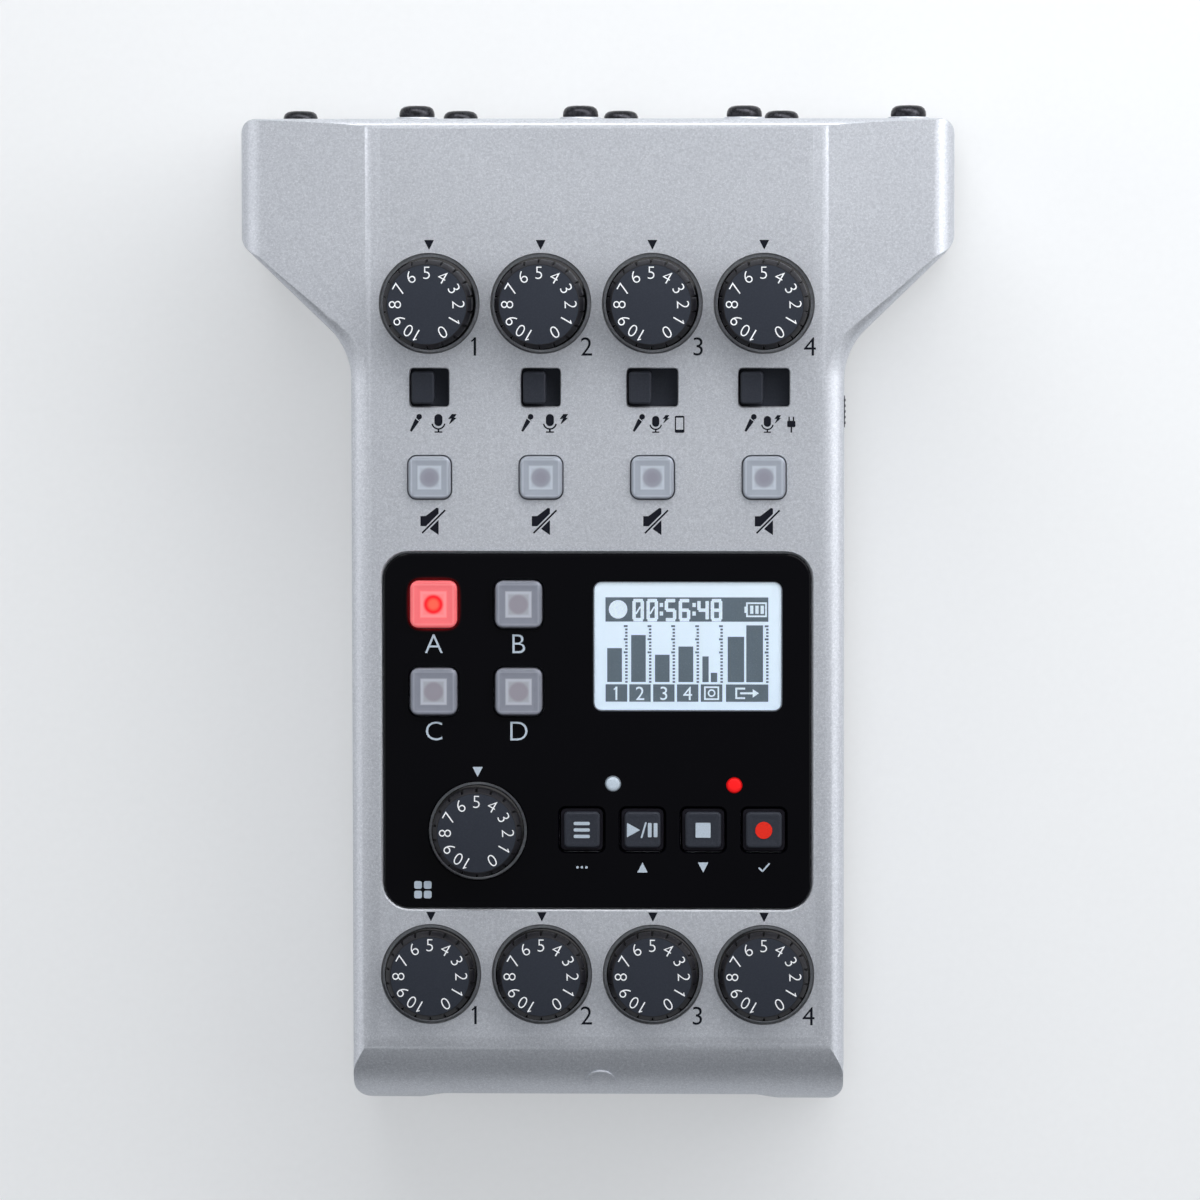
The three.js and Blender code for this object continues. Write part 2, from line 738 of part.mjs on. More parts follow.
// Jack board, whose jacks reach the dip of the front wall
const jackFront = dipDepth + wall + clearance - halfLength;
const jackBoardWidth = jackPitch * (jackCount - 1) + jackWidth + 2 * jackBoardMargin;
const jackBoardTop = jackLevel - jackHeight / 2;
const jackBoardPlace = jackFront + jackBoardDepth / 2;
const jackPostAcross = jackPostShare * jackBoardWidth;
const jackPostSpots = [[-jackPostAcross, jackBoardPlace], [jackPostAcross, jackBoardPlace]];

// Tray that closes the housing from below, with the battery bay, the towers under the main board and the lip.
function bottomShell() {
  const lower = keep(skin(), [layer(-overrun, trayHeight)]);
  const lip = keep(cut(walls(wall / 2 + clearance / 2), [walls(wall)]), [
    layer(trayHeight - lipHeight, trayHeight + lipHeight),
  ]);
  const bay = block(bayLength + 2 * bayWall, bayWidth + 2 * bayWall, trayFloor - wall / 2, bayTop + bayWall);
  const towers = copies(bossSpots, () => disc(bossRadius, trayFloor - wall / 2, faceHeight, smallSides));
  const overBoard = block(
    bodyWidth + 2 * overrun, bodyLength + 2 * overrun, -boardUnderside - clearance, overrun,
  );
  const posts = copies(jackPostSpots, () => (
    disc(jackPost, trayFloor - wall / 2, jackBoardTop - boardThick - clearance, smallSides)));
  const hollow = block(bayLength, bayWidth, -overrun, bayTop);
  const footSeats = copies(footSpots, () => (
    disc(footRadius + clearance, -overrun, footLift + footSink, batterySides)));
  const tall = cut(join(towers), [onFace(overBoard)]);
  const solidTray = join([lower, lip, bay.translate(0, bayPlace, 0), tall, ...posts]);
  return cut(solidTray, [hollow.translate(0, bayPlace, 0), ...footSeats]);
}

// Face parts

// Gloss panel inlaid in the face, with an opening for each control.
function controlPanel() {
  const plate = roundedBlock(panelWidth, panelDepth, panelRound, -panelThick, 0).translate(0, panelPlace, 0);
  const opening = (size, round) => roundedBlock(size, size, round, -panelThick - overrun, overrun);
  const windowOpening = roundedBlock(
    windowWidth + 2 * inlayGap, windowDepth + 2 * inlayGap, windowRound + inlayGap,
    -panelThick - overrun, overrun,
  );
  return cut(plate, [
    ...copies(padSpots, () => opening(padSize + 2 * clearance, padRound)),
    ...copies(keySpots, () => opening(keySkirt + 2 * clearance, keyRound)),
    ...copies(lightSpots, () => disc(lightRadius + clearance, -panelThick - overrun, overrun, smallSides)),
    disc(wellRadius, -panelThick - overrun, overrun, roundSides).translate(padKnobSpot[0], padKnobSpot[1], 0),
    windowOpening.translate(windowSpot[0], windowSpot[1], 0),
  ]);
}

// Display module on four legs that stand over the main board.
function lcdModule() {
  const top = -floorUnderside - clearance;
  const width = windowWidth + 2 * lcdMargin;
  const depth = windowDepth + 2 * lcdMargin;
  const legX = (width - lcdLeg) / 2;
  const legY = (depth - lcdLeg) / 2;
  const legSpots = [[-legX, -legY], [legX, -legY], [legX, legY], [-legX, legY]];
  const legs = copies(legSpots, () => block(lcdLeg, lcdLeg, clearance - boardDrop, top - lcdThick / 2));
  return join([block(width, depth, top - lcdThick, top), ...legs]);
}

// Knob with a smooth flange in its well, a grip of flat teeth between narrow grooves, and a shaft.
function knob(top) {
  const low = clearance - wellDepth;
  const shaftEnd = potFloor + clearance - boardDrop;
  const shaft = disc(shaftRadius, shaftEnd, flangeTop / 2, smallSides);
  const flange = disc(flangeRadius, low, flangeTop, knobSides);
  const pitch = 2 * Math.PI / gripTeeth;
  const teeth = Array.from({ length: gripTeeth }, (unused, i) => i * pitch).flatMap((angle) => [
    [gripRadius, angle - (pitch / 2) * (1 - grooveShare)],
    [gripRadius, angle + (pitch / 2) * (1 - grooveShare)],
    [gripRadius - gripGroove, angle + pitch / 2],
  ]);
  const outline = teeth.map(([radius, angle]) => (
    new THREE.Vector2(radius * Math.cos(angle), radius * Math.sin(angle))));
  const grip = loft([{ outline, z: flangeTop / 2 }, { outline, z: top - gripChamfer }]);
  const crest = gripRadius - gripGroove;
  const dish = turned([
    [0, flangeTop], [crest, flangeTop], [crest, top - gripChamfer], [crest - gripChamfer / 2, top], [0, top],
  ], knobSides);
  return join([shaft, flange, grip, dish]);
}

// Slide switch: a cap in its slot, over a plate that keeps the slot closed wherever the cap stands.
function sourceSwitch(slotWidth) {
  const travel = sourceTravel(slotWidth);
  const plateTop = -wall - clearance;
  const restX = -travel / 2;
  const plateWidth = slotWidth + travel + 2 * lap;
  const stemEnd = slideFrameHeight + clearance - boardDrop;
  return join([
    cap(sourceCapWidth, sourceCapDepth, sourceCapRound, plateTop - sourcePlate / 2, sourceCapTop, buttonEdge)
      .translate(restX, 0, 0),
    block(plateWidth, sourceSlotDepth + 2 * lap, plateTop - sourcePlate, plateTop).translate(restX, 0, 0),
    block(sourceStem, sourceStem, stemEnd, plateTop - sourcePlate / 2).translate(restX, 0, 0),
  ]);
}

// How far a source switch slides in its slot.
function sourceTravel(slotWidth) {
  return slotWidth - sourceCapWidth - 2 * clearance;
}

// Push button: a cap in its opening, a flange that holds it under the wall, and a stem over its switch.
function pushButton(size, round, top, openingSize, seat, travel) {
  const flange = openingSize + 2 * flangeLap;
  const flangeLevel = -seat - clearance;
  const stemEnd = clearance + travel - switchTopDrop;
  return join([
    cap(size, size, round, flangeLevel - flangeThick / 2, top, buttonEdge),
    block(flange, flange, flangeLevel - flangeThick, flangeLevel),
    block(stemSize, stemSize, stemEnd, flangeLevel - flangeThick / 2),
  ]);
}

// Key: a push button whose cap rises from a lower skirt that fills its opening.
function key() {
  const skirtLow = -floorUnderside - clearance - flangeThick / 2;
  const skirt = roundedBlock(keySkirt, keySkirt, keyRound, skirtLow, -keySkirtDrop);
  const opening = keySkirt + 2 * clearance;
  return join([pushButton(keySize, keyRound, keyTop, opening, floorUnderside, keyTravel), skirt]);
}

// Light pipe over its emitter.
function lightPipe() {
  const flangeLevel = -floorUnderside - clearance;
  return join([
    disc(lightRadius, emitterHeight + clearance - boardDrop, lightTop, screwSides),
    disc(lightFlange, flangeLevel - flangeThick, flangeLevel, smallSides),
  ]);
}

// Boards

// Main board with its potentiometers, push switches, slide switch frames, emitters and power switch frame.
function mainBoard() {
  const halfWidth = innerHalfBody - boardMargin;
  const rear = halfLength - wall - clearance - micDepth - boardRearGap - boardThick;
  const front = noseLength / 2 + wall - halfLength;
  const base = weld - boardDrop;
  const plate = roundedBlock(2 * halfWidth, rear - front, boardRound, -boardUnderside, -boardDrop)
    .translate(0, (rear + front) / 2, 0);
  const potSpots = [...gainSpots, ...volumeSpots, padKnobSpot];
  const embed = boardThick / 2;
  const frameOuter = innerHalfBody - clearance - powerPlate - powerStem - clearance;
  const powerFrame = block(
    powerFrameDepth, powerCapWidth + powerTravel + 2 * powerPlate, socketTop - powerFrameHeight, base - embed,
  );
  const pieces = [
    ...copies(potSpots, () => block(potSize, potSize, base - embed, -potTopDrop)),
    ...copies([...muteSpots, ...padSpots, ...keySpots], () => (
      block(switchSize, switchSize, base - embed, -switchTopDrop))),
    ...copies(sourceSpots, () => (
      block(slideFrameWidth, slideFrameDepth, base - embed, slideFrameHeight - boardDrop))),
    ...copies(lightSpots, () => block(emitterSize, emitterSize, base - embed, emitterHeight - boardDrop)),
    powerFrame.translate(frameOuter - powerFrameDepth / 2, powerPlace + powerTravel / 2, 0),
  ];
  const bores = copies(potSpots, () => (
    disc(shaftRadius + clearance, potFloor - boardDrop, overrun - potTopDrop, smallSides)));
  return cut(join([plate, ...pieces]), bores);
}

// Board behind the microphone sockets.
function inputBoard() {
  const width = micPitch * (micCount - 1) + 2 * inputBoardMargin;
  return block(width, boardThick, micHeight - inputBoardHeight / 2, micHeight + inputBoardHeight / 2);
}

// Board with the headphone jacks, whose nozzles stand in the front wall.
function jackBoard() {
  const nozzleTip = dipDepth - halfLength;
  const plate = block(jackBoardWidth, jackBoardDepth, jackBoardTop - boardThick, jackBoardTop)
    .translate(0, jackBoardPlace, 0);
  const bodies = jackPlaces.map((x) => (
    block(jackWidth, jackDepth, jackBoardTop - boardThick / 2, jackLevel + jackHeight / 2)
      .translate(x, jackFront + jackDepth / 2, 0)));
  const nozzles = jackPlaces.map((x) => (
    rodAlongY(nozzleRadius, nozzleTip, jackFront + jackDepth / 2, smallSides).translate(x, 0, jackLevel)));
  const bores = jackPlaces.map((x) => (
    rodAlongY(jackBore, nozzleTip - overrun, jackFront + jackDepth - boardThick, smallSides)
      .translate(x, 0, jackLevel)));
  return cut(join([plate, ...bodies, ...nozzles]), bores);
}

// Sockets, drawn with their mouth at z = 0 looking up

// Microphone socket: a flange behind the wall, a barrel in the wall's hole, and a core with three contacts.
function micSocket() {
  const wallBack = -wall - clearance;
  const barrel = disc(micRadius, wallBack - micDepth, 0, roundSides);
  const flange = roundedBlock(
    micFlangeWidth, micFlangeHeight, micFlangeRound, wallBack - micFlangeThick, wallBack,
  );
  const mouth = cut(disc(micMouthRadius, -micGroove, overrun, roundSides), [
    disc(micCoreRadius, -micGroove - overrun, -micCoreDrop, roundSides),
  ]);
  const contacts = [0, 1, 2].map((i) => {
    const angle = Math.PI / 2 + i * 2 * Math.PI / 3;
    return disc(contactRadius, -micCoreDrop - contactDepth, overrun, smallSides)
      .translate(contactCircle * Math.cos(angle), contactCircle * Math.sin(angle), 0);
  });
  const screwHoles = [[-screwAcross, screwUp], [screwAcross, -screwUp]].map(([x, y]) => (
    disc(screwHole, wallBack - micFlangeThick - overrun, overrun, smallSides).translate(x, y, 0)));
  return cut(join([barrel, flange]), [mouth, ...contacts, ...screwHoles]);
}

// Socket screw with a rounded head.
function micScrew() {
  const head = screwSeat + screwPadHeight;
  const top = head + screwHeadHeight;
  return turned([
    [0, -screwLength], [screwShank, -screwLength], [screwShank, head], [screwHeadRadius, head],
    [screwHeadRadius, top - screwHeadHeight / 2], [screwHeadRadius - screwHeadRound, top], [0, top],
  ], screwSides);
}

// Jack for a phone, in the side wall.
function phoneSocket() {
  const behind = -wall - clearance;
  return cut(join([
    block(jackWidth, jackHeight, behind - jackDepth, behind),
    disc(nozzleRadius, behind - jackDepth / 2, 0, smallSides),
  ]), [disc(jackBore, behind - jackDepth + boardThick, overrun, smallSides)]);
}

// Small oval data socket: a thin metal mouth round a tongue.
function usbSocket() {
  const back = -clearance - usbDepth;
  const inner = usbHeight - 2 * usbSkin;
  const shellBlock = roundedBlock(usbWidth, usbHeight, usbHeight / 2, back, -clearance);
  const mouth = roundedBlock(usbWidth - 2 * usbSkin, inner, inner / 2, back + usbSkin, overrun);
  const tongue = block(usbTongueWidth, usbTongueThick, back + usbSkin / 2, -clearance - usbTongueGap);
  return join([cut(shellBlock, [mouth]), tongue]);
}

// Memory card socket, open towards the side wall.
function cardSocket() {
  const front = -wall - clearance;
  return cut(block(cardWidth, cardHeight, front - cardDepth, front), [
    block(cardWidth - 2 * cardSkin, cardHeight - 2 * cardSkin, front - cardDepth + cardStop, overrun),
  ]);
}

// Power switch: a cap in the wall's slot, a plate behind the wall and a stem towards its frame.
function powerSwitch() {
  const plateTop = -wall - clearance;
  const plateWidth = powerCapWidth + 2 * powerTravel + 2 * clearance + 2 * lap;
  const plateHeight = powerCapHeight + 2 * clearance + 2 * lap;
  return join([
    cap(powerCapWidth, powerCapHeight, buttonEdge, plateTop - powerPlate / 2, powerCapProud, buttonEdge),
    block(plateWidth, plateHeight, plateTop - powerPlate, plateTop),
    block(powerCapHeight, powerStem, plateTop - powerPlate - powerStem, plateTop - powerPlate / 2),
  ]);
}

// Underside parts

// Battery door, flush with the underside, with a latch tab between two slots.
function batteryDoor() {
  const width = bayLength - 2 * clearance;
  const depth = bayWidth - 2 * clearance;
  const plate = roundedBlock(width, depth, doorRound, footLift, trayFloor);
  const slotY = depth / 2 - latchLength / 2;
  const slotX = (latchWidth + latchSlot) / 2;
  const slots = [[-slotX, slotY + overrun / 2], [slotX, slotY + overrun / 2]];
  return cut(plate, copies(slots, () => (
    block(latchSlot, latchLength + overrun, -overrun, trayFloor + overrun))));
}

// Battery along +X, with its tip at the far end.
function battery() {
  const half = batteryLength / 2;
  const shoulder = half - batteryTip;
  const profile = [
    [0, -half], [batteryRadius - batteryEdge, -half], [batteryRadius, batteryEdge - half],
    [batteryRadius, shoulder - batteryEdge], [batteryRadius - batteryEdge, shoulder],
    [batteryTipRadius, shoulder], [batteryTipRadius, half], [0, half],
  ];
  return turned(profile, batterySides).rotateY(Math.PI / 2);
}

// Contact plate across both batteries, with a nub for each, drawn against the bay's left end.
function contactBar() {
  const width = bayWidth - 2 * clearance;
  const nubs = [-1, 1].map((side) => (
    rodAlongX(contactNubRadius, contactPlate / 2, contactPlate + contactNub, smallSides)
      .translate(0, side * (batteryRadius + clearance / 2), 0)));
  const plate = block(contactPlate, width, -contactPlateHeight / 2, contactPlateHeight / 2)
    .translate(contactPlate / 2, 0, 0);
  return join([plate, ...nubs]);
}

// Finishes, each with its colour
const finishes = {
  silver: { color: 0xb4b9bf, roughness: 0.42, metalness: 0.35 },
  blackGloss: { color: 0x0a0a0e, roughness: 0.12, metalness: 0 },
  blackMatte: { color: 0x1d1c21, roughness: 0.6, metalness: 0 },
  knobGrey: { color: 0x363942, roughness: 0.55, metalness: 0 },
  milky: { color: 0x9695a0, roughness: 0.45, metalness: 0 },
  litRed: { color: 0xfc6a5b, roughness: 0.4, metalness: 0 },
  lightRed: { color: 0xf73535, roughness: 0.3, metalness: 0 },
  lightWhite: { color: 0xc4d0dc, roughness: 0.3, metalness: 0 },
  display: { color: 0xe6f3fc, roughness: 0.3, metalness: 0 },
  clear: { color: 0x10141c, roughness: 0.05, metalness: 0 },
  board: { color: 0x1f5a3a, roughness: 0.5, metalness: 0 },
  steel: { color: 0x9aa0a6, roughness: 0.3, metalness: 1 },
  screwBlack: { color: 0x17171a, roughness: 0.4, metalness: 0.8 },
  rubber: { color: 0x151515, roughness: 0.85, metalness: 0 },
  batteryJacket: { color: 0x2f3338, roughness: 0.4, metalness: 0.3 },
};

// Assembly

// Adds a named part to a group, at a place in the group's frame.
function add(group, name, shape, finish, place = [0, 0, 0]) {
  const mesh = new THREE.Mesh(geometryOf(shape), new THREE.MeshStandardMaterial(finish));
  mesh.name = name;
  mesh.position.set(...place);
  group.add(mesh);
  return mesh;
}

const recorder = new THREE.Group();
recorder.name = 'podcast_recorder';

// The screw heads stand out of the rear wall, so the body lies that much in front of the middle of the whole.
const body = new THREE.Group();
body.position.y = -(screwPadHeight + screwSeat + screwHeadHeight) / 2;
recorder.add(body);

const face = new THREE.Group();
face.position.z = faceHeight;
face.rotation.x = faceTilt;
body.add(face);

add(body, 'top_shell', topShell(), finishes.silver);
add(body, 'bottom_shell', bottomShell(), finishes.blackMatte);
add(face, 'control_panel', controlPanel(), finishes.blackGloss);
const pane = roundedBlock(windowWidth, windowDepth, windowRound, -panelThick, windowThick - panelThick);
add(face, 'display_window', pane, finishes.clear, [...windowSpot, 0]);
add(face, 'lcd_module', lcdModule(), finishes.display, [...windowSpot, 0]);
add(face, 'main_board', mainBoard(), finishes.board);

gainSpots.forEach((spot, i) => (
  add(face, `gain_knob_${i + 1}`, knob(gainKnobTop), finishes.knobGrey, [...spot, 0])));
volumeSpots.forEach((spot, i) => (
  add(face, `volume_knob_${i + 1}`, knob(volumeKnobTop), finishes.knobGrey, [...spot, 0])));
add(face, 'pad_level_knob', knob(padKnobTop), finishes.knobGrey, [...padKnobSpot, 0]);

sourceSpots.forEach((spot, i) => (
  add(face, `source_switch_${i + 1}`, sourceSwitch(sourceSlots[i]), finishes.blackMatte, [...spot, 0])));
muteSpots.forEach((spot, i) => {
  const button = pushButton(muteSize, muteRound, muteTop, muteSize + 2 * clearance, wall, muteTravel);
  add(face, `mute_button_${i + 1}`, button, finishes.milky, [...spot, 0]);
});
Object.keys(padPlaceShares).forEach((letter, i) => {
  const pad = pushButton(padSize, padRound, padTop, padSize + 2 * clearance, floorUnderside, padTravel);
  add(face, `sound_pad_${letter}`, pad, i === 0 ? finishes.litRed : finishes.milky, [...padSpots[i], 0]);
});
Object.keys(keyShares).forEach((name, i) => (
  add(face, `${name}_key`, key(), finishes.blackMatte, [...keySpots[i], 0])));
add(face, 'play_light', lightPipe(), finishes.lightWhite, [...lightSpots[0], 0]);
add(face, 'record_light', lightPipe(), finishes.lightRed, [...lightSpots[1], 0]);

// Rear wall: local z points out of the wall, and local y points down.
const rear = new THREE.Group();
rear.position.set(0, halfLength, micHeight);
rear.rotation.x = -Math.PI / 2;
body.add(rear);
micPlaces.forEach((x, i) => {
  add(rear, `xlr_socket_${i + 1}`, micSocket(), finishes.blackMatte, [x, 0, 0]);
  add(rear, `socket_screw_low_${i + 1}`, micScrew(), finishes.screwBlack, [x - screwAcross, screwUp, 0]);
  add(rear, `socket_screw_high_${i + 1}`, micScrew(), finishes.screwBlack, [x + screwAcross, -screwUp, 0]);
});
const inputBoardPlace = halfLength - wall - clearance - micDepth - clearance - boardThick / 2;
add(body, 'input_board', inputBoard(), finishes.board, [0, inputBoardPlace, 0]);
add(body, 'jack_board', jackBoard(), finishes.blackMatte);

// Side walls, in the frame of the face: local z points out of the wall, and local x runs along it.
const leftSide = new THREE.Group();
leftSide.position.x = -halfBody;
leftSide.rotation.set(Math.PI / 2, -Math.PI / 2, 0);
face.add(leftSide);
const rightSide = new THREE.Group();
rightSide.position.x = halfBody;
rightSide.rotation.set(Math.PI / 2, Math.PI / 2, 0);
face.add(rightSide);
add(leftSide, 'phone_socket', phoneSocket(), finishes.blackMatte, [-phonePlace, phoneLevel, 0]);
add(leftSide, 'usb_socket', usbSocket(), finishes.steel, [-usbPlace, usbLevel, 0]);
add(rightSide, 'card_socket', cardSocket(), finishes.steel, [cardPlace, cardLevel, 0]);
add(rightSide, 'power_switch', powerSwitch(), finishes.blackMatte, [powerPlace, powerLevel, 0]);

// Batteries side by side, head to tail, between the two contact bars.
const bay = new THREE.Group();
bay.position.set(0, bayPlace, 0);
body.add(bay);
const batteryOffset = batteryRadius + clearance / 2;
add(bay, 'battery_door', batteryDoor(), finishes.blackMatte);
add(bay, 'battery_1', battery(), finishes.batteryJacket, [0, batteryOffset, batteryLevel]);
add(bay, 'battery_2', battery(), finishes.batteryJacket, [0, -batteryOffset, batteryLevel])
  .rotation.z = Math.PI;
add(bay, 'battery_link', contactBar(), finishes.steel, [clearance - bayLength / 2, 0, batteryLevel]);
add(bay, 'battery_terminals', contactBar(), finishes.steel, [bayLength / 2 - clearance, 0, batteryLevel])
  .rotation.z = Math.PI;

footSpots.forEach((spot, i) => {
  const foot = disc(footRadius, 0, footLift + footSink - clearance, batterySides);
  add(body, `foot_${i + 1}`, foot, finishes.rubber, [...spot, 0]);
});

export default recorder;
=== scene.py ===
"""Looks of a podcast recorder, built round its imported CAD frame.

Lengths are millimetres in the forms and metres in the finished pieces. Face parts are drawn in the frame of
the face: z is 0 on its surface, and what lies under it has a negative z. Wall parts are drawn in the frame of
their wall in the same way.
"""

import logging
import math
from dataclasses import dataclass
from enum import Enum
from typing import Optional, Sequence

import bmesh
import bpy
from mathutils import Matrix, Vector


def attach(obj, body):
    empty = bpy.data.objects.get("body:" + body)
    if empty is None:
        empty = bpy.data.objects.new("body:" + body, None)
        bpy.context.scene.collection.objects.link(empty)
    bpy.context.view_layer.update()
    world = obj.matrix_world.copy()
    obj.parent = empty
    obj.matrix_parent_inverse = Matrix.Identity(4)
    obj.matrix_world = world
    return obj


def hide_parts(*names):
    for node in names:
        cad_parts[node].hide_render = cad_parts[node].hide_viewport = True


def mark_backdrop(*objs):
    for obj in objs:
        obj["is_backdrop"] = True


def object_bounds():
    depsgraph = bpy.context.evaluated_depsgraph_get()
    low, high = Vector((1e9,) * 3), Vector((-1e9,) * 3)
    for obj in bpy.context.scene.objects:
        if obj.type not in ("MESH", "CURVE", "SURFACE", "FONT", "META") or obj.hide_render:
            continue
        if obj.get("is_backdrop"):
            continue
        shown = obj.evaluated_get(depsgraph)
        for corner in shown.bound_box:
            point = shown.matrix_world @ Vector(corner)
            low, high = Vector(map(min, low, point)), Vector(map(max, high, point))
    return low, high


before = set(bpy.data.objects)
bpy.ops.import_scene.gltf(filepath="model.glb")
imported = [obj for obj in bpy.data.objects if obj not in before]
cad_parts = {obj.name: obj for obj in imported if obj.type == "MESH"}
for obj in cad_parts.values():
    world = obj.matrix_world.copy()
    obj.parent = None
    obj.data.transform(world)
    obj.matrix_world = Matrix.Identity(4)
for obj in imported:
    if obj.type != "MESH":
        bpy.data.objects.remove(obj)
CAD_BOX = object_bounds()

LOG = logging.getLogger("recorder")
MM = 0.001
BODY = "recorder"
INK = 0.03  # thickness of printed ink in millimetres
TILT = math.radians(2)  # rise of the face towards the rear

Point = tuple[float, float]
Corner = tuple[float, float, float]


# Colours and shaders


def tone(red: float, green: float, blue: float) -> tuple[float, float, float, float]:
    """Turn a display colour of 0 to 255 into the linear colour of a shader.

    Args:
        red: Red share, 0 to 255.
        green: Green share, 0 to 255.
        blue: Blue share, 0 to 255.

    Returns:
        The linear colour with full alpha.
    """
    def linear(value: float) -> float:
        """Linear light of one display value."""
        share = value / 255
        return share / 12.92 if share <= 0.04045 else ((share + 0.055) / 1.055) ** 2.4

    return (linear(red), linear(green), linear(blue), 1.0)


class Wire:
    """A shader socket that takes part in Python expressions."""

    def __init__(self, desk: "Desk", socket: bpy.types.NodeSocket) -> None:
        """Hold a socket and the desk that its nodes are made on."""
        self.desk = desk
        self.socket = socket

    def _math(self, operation: str, first: object, second: object) -> "Wire":
        """Add a Math node for two values and return its result."""
        node = self.desk.node("ShaderNodeMath", {"operation": operation}, {0: first, 1: second})
        return Wire(self.desk, node.outputs[0])

    def __add__(self, other: object) -> "Wire":
        """Sum of this and another value."""
        return self._math("ADD", self, other)

    __radd__ = __add__

    def __sub__(self, other: object) -> "Wire":
        """This less another value."""
        return self._math("SUBTRACT", self, other)

    def __rsub__(self, other: object) -> "Wire":
        """Another value less this."""
        return self._math("SUBTRACT", other, self)

    def __mul__(self, other: object) -> "Wire":
        """Product of this and another value."""
        return self._math("MULTIPLY", self, other)

    __rmul__ = __mul__

    def __truediv__(self, other: object) -> "Wire":
        """This divided by another value."""
        return self._math("DIVIDE", self, other)

    def __pow__(self, other: object) -> "Wire":
        """This raised to a power."""
        return self._math("POWER", self, other)

    def __abs__(self) -> "Wire":
        """Size of this without its sign."""
        return self._math("ABSOLUTE", self, 0.0)

    def most(self, other: object) -> "Wire":
        """Greater of this and another value."""
        return self._math("MAXIMUM", self, other)

    def step(self, low: float, high: float) -> "Wire":
        """Ease from 0 at one value to 1 at another.

        Args:
            low: Value that gives 0.
            high: Value that gives 1.

        Returns:
            The eased share.
        """
        node = self.desk.node(
            "ShaderNodeMapRange", {"interpolation_type": "SMOOTHSTEP", "clamp": True},
            {0: self, 1: low, 2: high, 3: 0.0, 4: 1.0},
        )
        return Wire(self.desk, node.outputs[0])


class Desk:
    """The node tree of one material, and the nodes that it is made of."""

    def __init__(self, name: str) -> None:
        """Start a material with an empty tree."""
        self.material = bpy.data.materials.new(name)
        self.material.use_nodes = True
        self.tree = self.material.node_tree
        self.tree.nodes.clear()

    def node(self, kind: str, settings: dict, sockets: dict) -> bpy.types.Node:
        """Add a node.

        Args:
            kind: Node type.
            settings: Properties, which are set first.
            sockets: Values or wires by socket name or number.

        Returns:
            The new node.
        """
        node = self.tree.nodes.new(kind)
        for name, value in settings.items():
            setattr(node, name, value)
        for key, value in sockets.items():
            if isinstance(value, Wire):
                self.tree.links.new(value.socket, node.inputs[key])
            else:
                node.inputs[key].default_value = value
        return node

    def place(self, centre: Vector = Vector(), turn: Sequence[float] = (0, 0, 0)) -> Wire:
        """Object coordinates in millimetres, centred and turned on a piece.

        Args:
            centre: Centre of the pattern, in metres.
            turn: Euler angles of the pattern.

        Returns:
            The coordinates.
        """
        source = self.node("ShaderNodeTexCoord", {}, {})
        mapping = self.node(
            "ShaderNodeMapping", {"vector_type": "TEXTURE"},
            {0: Wire(self, source.outputs["Object"]), 1: tuple(centre), 2: tuple(turn), 3: (MM, MM, MM)},
        )
        return Wire(self, mapping.outputs[0])

    def parts(self, vector: Wire) -> tuple[Wire, Wire, Wire]:
        """Three parts of a vector."""
        node = self.node("ShaderNodeSeparateXYZ", {}, {0: vector})
        return tuple(Wire(self, part) for part in node.outputs)

    def noise(self, at: Wire, scale: float, detail: float = 2.0, rough: float = 0.5) -> Wire:
        """Smooth noise from 0 to 1.

        Args:
            at: Coordinates in millimetres.
            scale: Waves per millimetre.
            detail: Octaves on top of the first.
            rough: Strength of the octaves.

        Returns:
            The noise value.
        """
        node = self.node(
            "ShaderNodeTexNoise", {"noise_dimensions": "3D"},
            {"Vector": at, "Scale": scale, "Detail": detail, "Roughness": rough},
        )
        return Wire(self, node.outputs[0])

    def cells(self, at: Wire, scale: float) -> Wire:
        """Random value of 0 to 1 for each cell of a fine grain."""
        node = self.node("ShaderNodeTexVoronoi", {}, {"Vector": at, "Scale": scale})
        grey = self.node("ShaderNodeSeparateColor", {}, {0: Wire(self, node.outputs["Color"])})
        return Wire(self, grey.outputs[0])

    def mix(self, share: object, low: object, high: object) -> Wire:
        """Mix two colours.

        Args:
            share: Share of the second colour.
            low: First colour.
            high: Second colour.

        Returns:
            The mixed colour.
        """
        node = self.node(
            "ShaderNodeMix", {"data_type": "RGBA", "clamp_factor": True}, {0: share, 6: low, 7: high},
        )
        return Wire(self, node.outputs[2])

    def bump(self, height: Wire, strength: float, distance: float) -> Wire:
        """Normal of a surface with small relief.

        Args:
            height: Relief from 0 to 1.
            strength: How much of it counts.
            distance: Its depth in millimetres.

        Returns:
            The bent normal.
        """
        node = self.node(
            "ShaderNodeBump", {}, {"Strength": strength, "Distance": distance * MM, "Height": height},
        )
        return Wire(self, node.outputs[0])

    def skin(self, sockets: dict) -> bpy.types.Material:
        """Finish the material with one Principled surface.

        Args:
            sockets: Values or wires of the surface.

        Returns:
            The material.
        """
        surface = self.node("ShaderNodeBsdfPrincipled", {}, sockets)
        return self.close(Wire(self, surface.outputs[0]))

    def close(self, surface: Wire) -> bpy.types.Material:
        """Join a surface to the material's output and return the material."""
        self.node("ShaderNodeOutputMaterial", {"target": "ALL"}, {"Surface": surface})
        return self.material


class Finish:
    """A finish that makes its material once, under its own name or that of its class."""

    made: dict = {}

    def dress(self) -> bpy.types.Material:
        """Material of this finish, made on first use."""
        if self not in Finish.made:
            Finish.made[self] = self.mixed(Desk(getattr(self, "name", type(self).__name__)))
        return Finish.made[self]

    def mixed(self, desk: Desk) -> bpy.types.Material:
        """Build the material on a desk."""
        raise NotImplementedError


